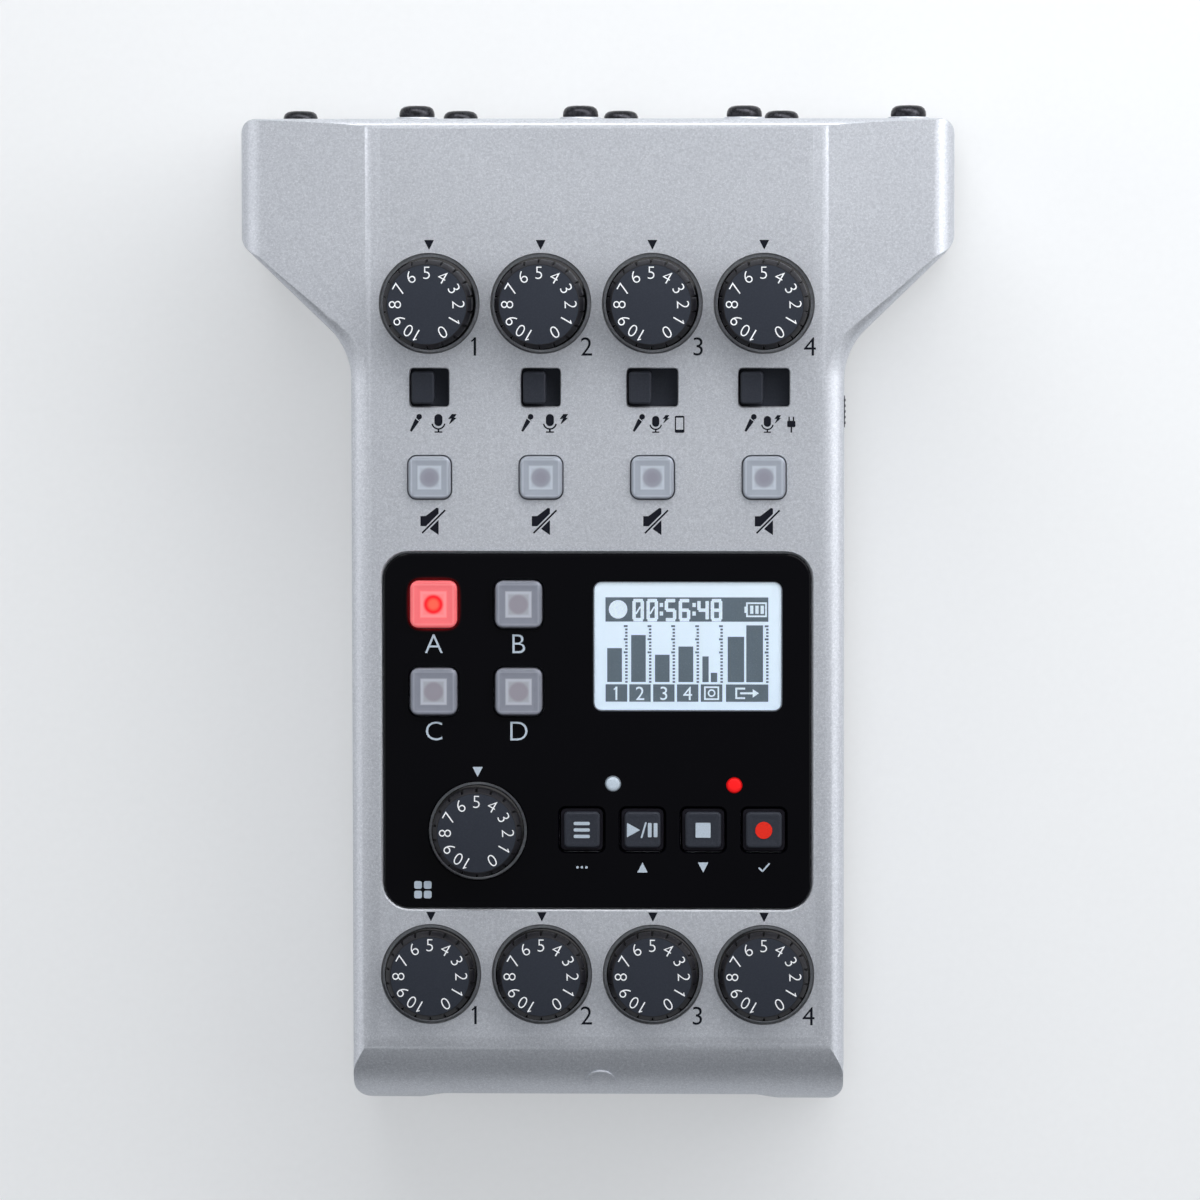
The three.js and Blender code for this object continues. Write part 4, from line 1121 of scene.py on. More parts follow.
@dataclass
class TopShell:
    """Silver upper shell with its wells, slots and openings."""

    housing: Housing
    well_depth: float = 1.6
    recess: Point = (67.6, 56.3)
    recess_depth: float = 1.8

    def outer(self) -> Form:
        """Outside of the shell, with the raised pads of the socket screws."""
        house = self.housing
        body = house.walls(0, (house.seam, 60), under=0.3).moved(BODY_SEAT)
        body = body.within(house.crown()).within(house.roof(0)).within(house.nose(0))
        pads = Form()
        for x in MIC_PLACES:
            for side in (-1, 1):
                pads.disc(3.25, (-1.0, 0.4), screw_spot(x, side), 0.15, 40)
        return body.joined(pads.moved(REAR_SEAT))

    def cavity(self) -> Form:
        """Room inside the shell, less the thicker wall under the wells and the panel."""
        house = self.housing
        wall = house.wall
        room = house.walls(wall, (-2, 60)).moved(BODY_SEAT)
        room = room.within(house.roof(wall, 6)).within(house.nose(wall, 8))
        solid = Form()
        for row in ("gain", "volume"):
            solid.slab((69.5, 17.0), (-3.2, 2), (0, ROWS[row]))
        solid.slab((70.0, 58.7), (-3.3, 2), (0, PANEL_Y))
        return room.less(solid.moved(FACE_SEAT))

    def face_openings(self) -> Form:
        """Cutters for the wells, the slots, the button openings and the recess of the panel."""
        cutters = Form()
        floor = -self.well_depth
        profile = [
            (0, -8.8), (3.3, -8.8), (3.3, floor), (WELL, floor),
            (WELL, -0.22), (WELL + 0.22, 0.02), (WELL + 0.22, 4), (0, 4),
        ]
        for row in ("gain", "volume"):
            for x in COLUMNS:
                cutters.lathe(profile, 96, (x, ROWS[row]))
        for x, width in zip(COLUMNS, SLOT_WIDTHS):
            opening(cutters, (width, 6.0), (x, ROWS["source"]), -6, 0.55, 0.16)
            opening(cutters, (7.0, 7.0), (x, ROWS["mute"]), -6, 1.45, 0.08)
        opening(cutters, self.recess, (0, PANEL_Y), -self.recess_depth, 4.2, 0.28)
        return cutters.moved(FACE_SEAT)

    def panel_passages(self) -> Form:
        """Cutters for what passes from the panel into the shell."""
        cutters = Form()
        for spot in PAD_PLACES.values():
            cutters.slab((8.0, 8.0), (-8, -1), spot)
        for spot in KEY_PLACES.values():
            cutters.slab((7.25, 7.25), (-8, -1), spot)
        for spot in LIGHT_PLACES.values():
            cutters.disc(1.5, (-8, -1), spot, sides=24)
        cutters.slab((26, 17), (-8, -1), WINDOW_PLACE)
        cutters.disc(3.3, (-8, -1), PAD_KNOB_PLACE, sides=32)
        return cutters.moved(FACE_SEAT)

    def wall_openings(self) -> Form:
        """Cutters for the rear, front and side walls."""
        rear = Form()
        for x in MIC_PLACES:
            bore(rear, 12.0, (x, 0), -6, 0.3, 80)
            for side in (-1, 1):
                rear.disc(1.8, (-6, 6), screw_spot(x, side), sides=20)
        front = Form()
        for x in JACK_PLACES:
            bore(front, 3.3, (x, 0), -5, 0.35, 40)
        left = Form()
        bore(left, 3.3, (-29.45, -17.2), -6, 0.3, 40)
        opening(left, (9.6, 3.9), (-4.65, -15.55), -6, 1.9, 0.2)
        right = Form()
        opening(right, (25.6, 3.3), (-4.65, -15.25), -6, 0.5, 0.2)
        opening(right, (8.6, 3.2), (32.5, -16.2), -6, 0.5, 0.2)
        result = rear.moved(REAR_SEAT)
        result.add(front, FRONT_SEAT).add(left, LEFT_SEAT).add(right, RIGHT_SEAT)
        return result

    def build(self) -> None:
        """Make the shell and report it."""
        house = self.housing
        shell = self.outer().less(self.cavity())
        shell = shell.less(house.walls(0.85, (-4, 6.1)).moved(BODY_SEAT))
        shell = shell.less(self.face_openings()).less(self.panel_passages()).less(self.wall_openings())
        piece(
            shell, "top_shell_skin", Matrix(), SilverPaint(), replaces=("top_shell",),
            sharp=24, weighted=True,
        )


# Finishes


BLACK_PLASTIC = Plastic("BlackPlastic", tone(27, 28, 32), tone(40, 41, 46), 0.48)
TRAY_PLASTIC = Plastic("TrayPlastic", tone(38, 39, 43), tone(52, 53, 58), 0.55, 2.2, 0.05)
KNOB_TOP = Plastic("KnobTop", tone(46, 50, 59), tone(54, 58, 67), 0.55, 4.0, 0.015)
KNOB_GRIP = Plastic("KnobGrip", tone(20, 20, 25), tone(31, 30, 35), 0.3, 3.0, 0.02, 0.0, 0.3)
KNOB_FLANGE = Plastic("KnobFlange", tone(5, 5, 7), tone(10, 10, 12), 0.12, 3.0, 0.01, 0.06, 0.12)
CAP_GREY = Plastic("CapGrey", tone(46, 49, 57), tone(58, 61, 69), 0.42, 4.0, 0.015)
SLOT_BLACK = Plastic("SlotBlack", tone(20, 19, 26), tone(32, 30, 39), 0.5)
STEEL = Metal("PlatedSteel", tone(160, 164, 170), tone(200, 203, 208), 0.24)
BLACK_SCREW = Metal("BlackScrew", tone(38, 38, 42), tone(74, 74, 80), 0.22, 0.85)
FOOT_RUBBER = Plastic("FootRubber", tone(20, 20, 22), tone(32, 32, 35), 0.8, 1.6, 0.08)
JACKET = Plastic("BatteryJacket", tone(44, 48, 54), tone(70, 75, 82), 0.32, 0.6, 0.01, 0.5)
FACE_INK = Ink("FaceInk", tone(22, 24, 33), "black_matte")
PALE_INK = Ink("PaleInk", tone(192, 205, 218), "display")
# The white knob numbers get a faint painted glow, though they are no lamp.
DIAL_INK = Ink("DialInk", tone(238, 240, 243), "milky_rubber", 0.12)
RED_INK = Ink("RedInk", tone(238, 50, 36), "red_light")
WHITE_LIGHT = Ink("WhiteLight", tone(178, 190, 202), "white_light", 0.3)
RED_LIGHT = Ink("RedLight", tone(222, 26, 28), "red_light", 0.6)

# Tones of the buttons, from the rim inwards as Rubber names them; the rim is painted shade on the rounded edge
# and the fifth tone a painted highlight round the square
LIT_TONES = (
    (196, 84, 88), (206, 96, 100), (212, 112, 114), (226, 110, 112), (230, 124, 126), (226, 20, 32),
    (240, 84, 66),
)
PAD_TONES = (
    (112, 114, 124), (136, 140, 152), (152, 156, 168), (166, 169, 178), (190, 195, 206), (150, 146, 156),
    (150, 147, 157),
)
MUTE_TONES = (
    (140, 144, 154), (160, 167, 178), (178, 184, 195), (176, 184, 195), (190, 198, 208), (148, 150, 162),
    (142, 143, 155),
)


# Face parts


@dataclass
class ControlPanel:
    """Gloss black panel with its openings."""

    size: Point = (67.2, 55.9)
    thick: float = 1.5

    def build(self) -> None:
        """Make the panel and report it."""
        plate = Form().slab(self.size, (-self.thick, 0), (0, PANEL_Y), 4.0, 0.3, 10, 3)
        cutters = Form()
        for spot in PAD_PLACES.values():
            opening(cutters, (8.0, 8.0), spot, -6, 1.6, 0.12)
        for spot in KEY_PLACES.values():
            opening(cutters, (7.25, 7.25), spot, -6, 1.1, 0.16)
        for spot in LIGHT_PLACES.values():
            bore(cutters, 1.26, spot, -6, 0.06, 32)
        opening(cutters, (29.7, 20.4), WINDOW_PLACE, -6, 1.3, 0.1)
        bore(cutters, WELL, PAD_KNOB_PLACE, -6, 0.2, 96)
        lit = tuple(FACE_SEAT @ Vector((*PAD_PLACES["a"], 0)) * MM)
        piece(
            plate.less(cutters), "control_panel_gloss", FACE_SEAT, Glossy(lit),
            replaces=("control_panel",), sharp=30, weighted=True,
        )


class Glyphs:
    """Flat characters and marks in printed ink."""

    shapes: dict = {}
    raw_depth: float = 0.04

    @classmethod
    def text(cls, words: str, height: float, weight: float = 0.0) -> Form:
        """Centred characters of a real height.

        Args:
            words: The characters.
            height: Their height in millimetres.
            weight: How much thicker their strokes are, as a share of the height.

        Returns:
            The characters as a thin form on level 0.
        """
        key = (words, round(height, 3), round(weight, 3))
        if key not in cls.shapes:
            curve = bpy.data.curves.new("glyph", "FONT")
            curve.body = words
            curve.size = 1.0
            curve.resolution_u = 4
            curve.offset = weight
            curve.extrude = cls.raw_depth / 2
            thing = bpy.data.objects.new("glyph", curve)
            bpy.context.scene.collection.objects.link(thing)
            view = bpy.context.evaluated_depsgraph_get()
            data = bpy.data.meshes.new_from_object(thing.evaluated_get(view))
            form = Form()
            form.mesh.from_mesh(data)
            bmesh.ops.remove_doubles(form.mesh, verts=form.mesh.verts, dist=1e-5)
            xs = [v.co.x for v in form.mesh.verts]
            ys = [v.co.y for v in form.mesh.verts]
            scale = height / (max(ys) - min(ys))
            middle = Matrix.Translation((-(min(xs) + max(xs)) / 2, -(min(ys) + max(ys)) / 2, 0))
            size = Matrix.Diagonal((scale, scale, INK / cls.raw_depth, 1))
            form.moved(size @ middle)
            if words[0] == "1":
                stem = (min(xs) - max(xs)) / 2 * scale + height * (0.05 + weight)
                flag = (stem - 0.17 * height, 0.27 * height)
                form.add(cls.bar(flag, (stem, 0.43 * height), height * (0.09 + weight)))
            bpy.data.objects.remove(thing)
            bpy.data.curves.remove(curve)
            bpy.data.meshes.remove(data)
            cls.shapes[key] = form
        return cls.shapes[key].copy()

    @staticmethod
    def patch(points: Sequence[Point], corner: float = 0.0) -> Form:
        """Flat patch of ink on an outline, counter-clockwise."""
        return Form().prism([(x, y, corner) for x, y in points], (-INK / 2, INK / 2), steps=3)

    @staticmethod
    def bar(start: Point, end: Point, width: float, corner: float = 0.0) -> Form:
        """Stroke of ink from one place to another.

        Args:
            start: First end.
            end: Second end.
            width: Its width.
            corner: Radius of its corners.

        Returns:
            The stroke.
        """
        way = Vector(end) - Vector(start)
        middle = (Vector(end) + Vector(start)) / 2
        form = Form().slab((way.length, width), (-INK / 2, INK / 2), corner=corner, steps=3)
        turn = Matrix.Rotation(math.atan2(way.y, way.x), 4, "Z")
        return form.moved(Matrix.Translation((middle.x, middle.y, 0)) @ turn)

    @staticmethod
    def dot(radius: float, x: float = 0, y: float = 0, sides: int = 32) -> Form:
        """Round dot of ink."""
        return Form().disc(radius, (-INK / 2, INK / 2), (x, y), sides=sides)

    @staticmethod
    def ring(
        radius: float, width: float, x: float = 0, y: float = 0, start: float = 0, sweep: float = 360,
    ) -> Form:
        """Ring or arc of ink.

        Args:
            radius: Radius of its middle line.
            width: Width of the line.
            x: Its centre across.
            y: Its centre along.
            start: Angle where it starts, in degrees.
            sweep: Angle that it covers, in degrees.

        Returns:
            The ring or arc.
        """
        part = bmesh.new()
        low, high = radius - width / 2, radius + width / 2
        places = ((low, -INK / 2), (high, -INK / 2), (high, INK / 2), (low, INK / 2))
        face = part.faces.new([part.verts.new((a, 0, b)) for a, b in places])
        whole = sweep >= 360
        turn = Matrix.Rotation(math.radians(start), 3, "Z")
        bmesh.ops.rotate(part, cent=(0, 0, 0), matrix=turn, verts=part.verts)
        bmesh.ops.spin(
            part, geom=[face] + list(face.edges), cent=(0, 0, 0), axis=(0, 0, 1), dvec=(0, 0, 0),
            angle=math.radians(sweep), steps=max(4, round(sweep / 12)), use_merge=whole, use_duplicate=False,
        )
        if whole:
            bmesh.ops.remove_doubles(part, verts=part.verts, dist=1e-4)
        bmesh.ops.recalc_face_normals(part, faces=part.faces)
        bmesh.ops.translate(part, vec=(x, y, 0), verts=part.verts)
        return Form().take(part)

    @classmethod
    def pointer(cls, size: float, up: bool = False) -> Form:
        """Small triangle that points down, or up."""
        half = size / 2
        side = -1 if up else 1
        points = [(0, -side * half), (half, side * half), (-half, side * half)]
        return cls.patch(points if not up else [points[0], points[2], points[1]], 0.05)

    @classmethod
    def hand_mic(cls) -> Form:
        """Hand microphone, tilted."""
        form = cls.patch([(-0.9, -1.28), (-0.62, -1.46), (0.56, 0.16), (-0.04, 0.66)], 0.08)
        return form.add(cls.dot(0.44, 0.58, 0.92, 24)).add(cls.bar((0.1, 0.78), (0.68, 0.3), 0.09))

    @classmethod
    def studio_mic(cls) -> Form:
        """Studio microphone on its stand."""
        form = Form().slab((1.26, 1.9), (-INK / 2, INK / 2), (0, 0.5), 0.62, steps=6)
        form.add(cls.ring(1.0, 0.24, 0, 0.1, 190, 160)).add(cls.bar((0, -0.95), (0, -1.35), 0.26))
        return form.add(cls.bar((-0.62, -1.38), (0.62, -1.38), 0.22, 0.05))

    @classmethod
    def bolt(cls) -> Form:
        """Lightning bolt of a microphone that needs power."""
        form = cls.patch([(-0.48, 0.02), (0.4, 0.08), (0.88, 0.8), (0.12, 0.8)])
        return form.add(cls.patch([(-0.34, -0.78), (-0.2, -0.76), (0.88, 0.2), (0.2, 0.26), (-0.02, -0.08)]))

    @classmethod
    def phone(cls) -> Form:
        """Outline of a phone."""
        form = Form()
        for x in (-0.66, 0.66):
            form.add(cls.bar((x, -1.25), (x, 1.25), 0.2, 0.06))
        form.add(cls.bar((-0.66, 1.18), (0.66, 1.18), 0.3, 0.1))
        return form.add(cls.bar((-0.66, -1.1), (0.66, -1.1), 0.5, 0.1))

    @classmethod
    def plug(cls) -> Form:
        """Plain plug with two pins."""
        form = Form().slab((1.3, 1.0), (-INK / 2, INK / 2), (0, 0.05), 0.2, steps=3)
        for x in (-0.34, 0.34):
            form.add(cls.bar((x, 0.4), (x, 1.2), 0.22, 0.06))
        return form.add(cls.bar((0, -0.4), (0, -1.3), 0.24, 0.06))

    @classmethod
    def muted(cls) -> Form:
        """Speaker with a stroke through it."""
        speaker = [
            (-1.42, -0.75), (-0.56, -0.75), (1.38, 1.18), (1.38, 1.98), (1.08, 2.1), (-0.6, 0.82), (-1.42, 0.8),
        ]
        form = cls.patch(speaker, 0.05)
        form.add(cls.patch([(0.0, -1.16), (1.38, -2.12), (1.38, 0.23)], 0.05))
        return form.add(cls.bar((-1.16, -1.82), (2.4, 1.72), 0.27))

    @classmethod
    def four_squares(cls) -> Form:
        """Two by two small squares."""
        form = Form()
        for x in (-0.76, 0.76):
            for y in (-0.76, 0.76):
                form.slab((1.22, 1.22), (-INK / 2, INK / 2), (x, y), 0.3, steps=3)
        return form

    @classmethod
    def headphones(cls) -> Form:
        """Headphones seen from the front."""
        form = cls.ring(1.9, 0.28, 0, -0.2, 8, 164)
        for side in (-1, 1):
            form.add(cls.bar((side * 1.9, -0.1), (side * 1.6, -1.25), 0.75, 0.2))
        return form


def print_marks(marks: Form, name: str, seat: Matrix, ink: Ink, body: str = BODY) -> None:
    """Lay printed marks on a surface.

    Args:
        marks: Their shape.
        name: Name of the piece.
        seat: Where they lie.
        ink: What they are printed with.
        body: Body that they move with.
    """
    piece(marks, name, seat, ink, body, sharp=30)


@dataclass
class Knob:
    """Dial with a smooth flange, a grip of flat teeth and numbers on its top."""

    node: str
    spot: Point
    top: float
    flange: float = 7.28
    grip: float = 6.95
    teeth: int = 18
    groove: float = 0.8
    chamfer: float = 0.75
    face: float = 6.28
    number_ring: float = 4.95
    number_height: float = 1.92

    def grip_form(self) -> Form:
        """Shaft and grip, whose teeth end in a chamfer under the top."""
        form = Form().disc(3.0, (-11.1, 0.5), sides=32)
        part = bmesh.new()
        per_tooth = 12
        circle = bmesh.ops.create_circle(part, cap_ends=True, segments=self.teeth * per_tooth, radius=self.grip)
        verts = circle["verts"]
        grooves = [v for i, v in enumerate(verts) if i % per_tooth == 0]
        bmesh.ops.scale(part, vec=(1 - self.groove / self.grip,) * 2 + (1,), verts=grooves)
        bmesh.ops.translate(part, vec=(0, 0, 0.5), verts=verts)
        high = self.top - self.chamfer
        crest = self.face + 0.16
        levels = ((high - 0.1, None), (high, -0.06), (self.top - 0.16, crest), (self.top, self.face))
        face = part.faces[:][0]
        for level, change in levels:
            made = bmesh.ops.extrude_face_region(part, geom=[face])["geom"]
            rim = [item for item in made if isinstance(item, bmesh.types.BMVert)]
            old = face
            face = next(item for item in made if isinstance(item, bmesh.types.BMFace))
            if old.is_valid and level != levels[0][0]:
                bmesh.ops.delete(part, geom=[old], context="FACES_ONLY")
            for v in rim:
                radius = math.hypot(v.co.x, v.co.y)
                target = radius if change is None else radius + change if change < 0 else change
                v.co = Vector((v.co.x * target / radius, v.co.y * target / radius, level))
        bmesh.ops.recalc_face_normals(part, faces=part.faces)
        return form.take(part)

    def numbers(self) -> Form:
        """Numbers 0 to 10 round the top, read from outside."""
        form = Form()
        for value in range(11):
            turn = math.radians(-60 + 30 * value)
            place = (
                Matrix.Rotation(turn, 4, "Z") @ Matrix.Translation((self.number_ring, 0, 0))
                @ Matrix.Rotation(-math.pi / 2, 4, "Z")
            )
            form.add(Glyphs.text(str(value), self.number_height, -0.014), place)
        return form

    def build(self) -> None:
        """Make the knob and report it."""
        seat = at(FACE_SEAT, *self.spot)
        piece(
            self.grip_form(), f"{self.node}_grip", seat, KNOB_GRIP, self.node,
            replaces=(self.node,), sharp=22, weighted=True,
        )
        flange = Form().lathe(
            [(3.0, -1.3), (7.1, -1.3), (self.flange, -1.1), (self.flange, 0.45), (7.24, 0.56), (7.12, 0.64),
             (6.2, 1.03), (3.0, 1.03)], 96,
        )
        piece(flange, f"{self.node}_flange", seat, KNOB_FLANGE, self.node, sharp=35)
        disc = Form().lathe(
            [(0, self.top - 0.2), (self.face - 0.1, self.top - 0.2), (self.face - 0.1, self.top + 0.005),
             (self.face - 0.2, self.top + 0.02), (0, self.top + 0.035)], 96,
        )
        piece(disc, f"{self.node}_top", seat, KNOB_TOP, self.node, sharp=35)
        seat = at(FACE_SEAT, *self.spot, self.top + 0.04)
        print_marks(self.numbers(), f"{self.node}_numbers", seat, DIAL_INK, self.node)


@dataclass
class SourceSwitch:
    """Slide switch with a cap in its slot and a plate that closes the slot."""

    number: int
    slot: float

    @property
    def travel(self) -> float:
        """How far the cap slides."""
        return self.slot - 4.1

    def build(self) -> None:
        """Make the switch and report it."""
        node = f"source_switch_{self.number}"
        spot = (COLUMNS[self.number - 1] - self.travel / 2, ROWS["source"])
        form = Form().slab((3.5, 5.0), (-2.75, 1.1), corner=0.55, edge=0.32, steps=5, edge_steps=4)
        form.slab((self.slot + self.travel + 1, 7.0), (-3.2, -2.3), corner=0.3)
        form.slab((2, 2), (-7.7, -2.75))
        piece(form, f"{node}_cap", at(FACE_SEAT, *spot), CAP_GREY, node, (node,), 35, True)


def dished(size: float, corner: float, low: float, top: float, edge: float, rim: float, sink: float) -> Form:
    """Button cap with a rounded edge and a shallow dish inside a rim.

    Args:
        size: Width and depth.
        corner: Radius of its corners.
        low: Its lowest level.
        top: Its highest level.
        edge: Rounding of its upper edge.
        rim: Width of the rim round the dish.
        sink: Depth of the dish.

    Returns:
        The cap.
    """
    rings = [(square(size, size, corner), low)]
    for i in range(6):
        turn = i * math.pi / 10
        grow = -edge * (1 - math.cos(turn))
        rings.append((square(size, size, corner, grow), top - edge * (1 - math.sin(turn))))
    inner = -edge - rim
    rings.append((square(size, size, corner, inner), top))
    rings.append((square(size, size, corner, inner - 0.25), top - sink * 0.8))
    rings.append((square(size, size, corner, inner - 0.6), top - sink))
    return Form().rings(rings, 6)


@dataclass
class PushButton:
    """Silicone button with a lamp under it, a flange and a stem."""

    node: str
    spot: Point
    size: float
    corner: float
    top: float
    seat: float
    travel: float
    lit: bool = False

    def build(self) -> None:
        """Make the button and report it."""
        level = -self.seat - 0.3
        form = dished(self.size, self.corner, level - 0.4, self.top, 0.4, 0.35, 0.06)
        flange = self.size + 1.8
        form.slab((flange, flange), (level - 0.8, level), corner=0.4)
        form.slab((2.6, 2.6), (0.3 + self.travel - 8.6, level - 0.4))
        centre = tuple(FACE_SEAT @ Vector((*self.spot, 0)) * MM)
        if self.lit:
            name, tones, glow, slot = "Lit", LIT_TONES, 0.6, "lit_red_rubber"
        else:
            name, tones, glow, slot = "Milky", PAD_TONES if self.size > 7 else MUTE_TONES, 0.0, "milky_rubber"
        tones = [tone(*shade) for shade in tones]
        finish = Rubber(f"{name}_{self.node}", centre, self.size / 2, *tones, glow)
        seat = at(FACE_SEAT, *self.spot)
        piece(form, f"{self.node}_cap", seat, finish, self.node, (self.node,), 35, True)


class KeyMark(Enum):
    """What is printed on each key."""

    MENU = "menu"
    PLAY = "play"
    STOP = "stop"
    RECORD = "record"

    def shape(self) -> Form:
        """Mark of this key."""
        if self is KeyMark.MENU:
            form = Form()
            for y in (-1.02, 0.0, 1.02):
                form.add(Glyphs.bar((-1.27, y), (1.27, y), 0.52, 0.2))
            return form
        if self is KeyMark.PLAY:
            form = Glyphs.patch([(-2.42, -1.15), (-0.34, 0.0), (-2.42, 1.15)], 0.06)
            form.add(Glyphs.bar((-0.16, -1.25), (0.58, 1.25), 0.28, 0.1))
            for x in (1.16, 2.08):
                form.add(Glyphs.bar((x, -1.12), (x, 1.12), 0.6, 0.12))
            return form
        if self is KeyMark.STOP:
            return Form().slab((2.36, 2.36), (-INK / 2, INK / 2), corner=0.12, steps=3)
        return Glyphs.dot(1.34)


@dataclass
class Key:
    """Hard key that rises from a skirt in its opening."""

    mark: KeyMark

    def build(self) -> None:
        """Make the key with its mark and report it."""
        node = f"{self.mark.value}_key"
        spot = KEY_PLACES[self.mark.value]
        seat = at(FACE_SEAT, *spot)
        form = dished(5.65, 0.7, -3.8, 0.5, 0.36, 0.3, 0.05)
        piece(form, f"{node}_cap", seat, CAP_GREY, node, (node,), 35, True)
        skirt = Form().slab((6.65, 6.65), (-4.0, -0.5), corner=0.8, edge=0.12)
        skirt.slab((8.45, 8.45), (-4.4, -3.6), corner=0.4)
        skirt.slab((2.6, 2.6), (-7.9, -4.0))
        piece(skirt, f"{node}_skirt", seat, SLOT_BLACK, node, sharp=35, weighted=True)
        ink = RED_INK if self.mark is KeyMark.RECORD else PALE_INK
        print_marks(self.mark.shape(), f"{node}_mark", at(FACE_SEAT, *spot, 0.52), ink, node)


@dataclass
class StatusLight:
    """Light pipe with a domed end."""

    name: str
    finish: Ink

    def build(self) -> None:
        """Make the light and report it."""
        profile = [
            (0, -10.7), (1.2, -10.7), (1.2, -0.5), (1.04, -0.4), (1.04, 0.04), (0.97, 0.12), (0.65, 0.18),
            (0, 0.2),
        ]
        form = Form().lathe(profile, 32).disc(1.65, (-4.4, -3.6), sides=32)
        node = f"{self.name}_light"
        seat = at(FACE_SEAT, *LIGHT_PLACES[self.name])
        piece(form, f"{node}_pipe", seat, self.finish, replaces=(node,), sharp=40)


@dataclass
class FacePrint:
    """Black marks on the silver face."""

    def build(self) -> None:
        """Print the marks."""
        marks = Form()
        for i, x in enumerate(COLUMNS):
            marks.put(Glyphs.pointer(1.56), x, ROWS["gain"] + 9.15)
            marks.put(Glyphs.pointer(1.5), x, ROWS["volume"] + 9.1)
            number = Glyphs.text(str(i + 1), 2.87, -0.004)
            marks.put(number.copy(), x + 7.15, ROWS["gain"] - 6.75)
            marks.put(number, x + 7.0, ROWS["volume"] - 6.5)
            marks.put(Glyphs.muted().moved(Matrix.Scale(1.02, 4)), x - 0.02, ROWS["mute"] - 6.9)
            low = ROWS["source"] - 5.75
            marks.put(Glyphs.hand_mic(), x - 2.2, low + 0.25)
            if i < 2:
                marks.put(Glyphs.studio_mic(), x + 1.4, low + 0.15)
                marks.put(Glyphs.bolt(), x + 3.4, low + 0.8)
                continue
            marks.put(Glyphs.studio_mic().moved(Matrix.Scale(0.9, 4)), x + 0.5, low)
            marks.put(Glyphs.bolt().moved(Matrix.Scale(0.8, 4)), x + 1.95, low + 0.8)
            mark = Glyphs.phone() if i == 2 else Glyphs.plug()
            marks.put(mark, x + 4.25, low)
        print_marks(marks, "face_print", FACE_SEAT, FACE_INK)


@dataclass
class PanelPrint:
    """Pale marks on the black panel."""

    def build(self) -> None:
        """Print the marks."""
        marks = Form()
        for letter, (x, y) in PAD_PLACES.items():
            marks.put(Glyphs.text(letter.upper(), 2.95, -0.01), x, y - 6.25)
        marks.put(Glyphs.pointer(1.6), PAD_KNOB_PLACE[0], PAD_KNOB_PLACE[1] + 9.3)
        marks.put(Glyphs.four_squares(), -27.5, -43.75)
        low = KEY_PLACES["menu"][1] - 5.95
        marks.put(Glyphs.pointer(1.62, True), KEY_PLACES["play"][0], low)
        marks.put(Glyphs.pointer(1.62), KEY_PLACES["stop"][0], low)
        for x in (-0.7, 0, 0.7):
            marks.put(Glyphs.dot(0.2, x), KEY_PLACES["menu"][0], low)
        tick = Glyphs.bar((-0.8, 0.0), (-0.2, -0.6), 0.26, 0.1)
        tick.add(Glyphs.bar((-0.25, -0.62), (0.9, 0.7), 0.26, 0.1))
        marks.put(tick, KEY_PLACES["record"][0], low)
        print_marks(marks, "panel_print", FACE_SEAT, PALE_INK)


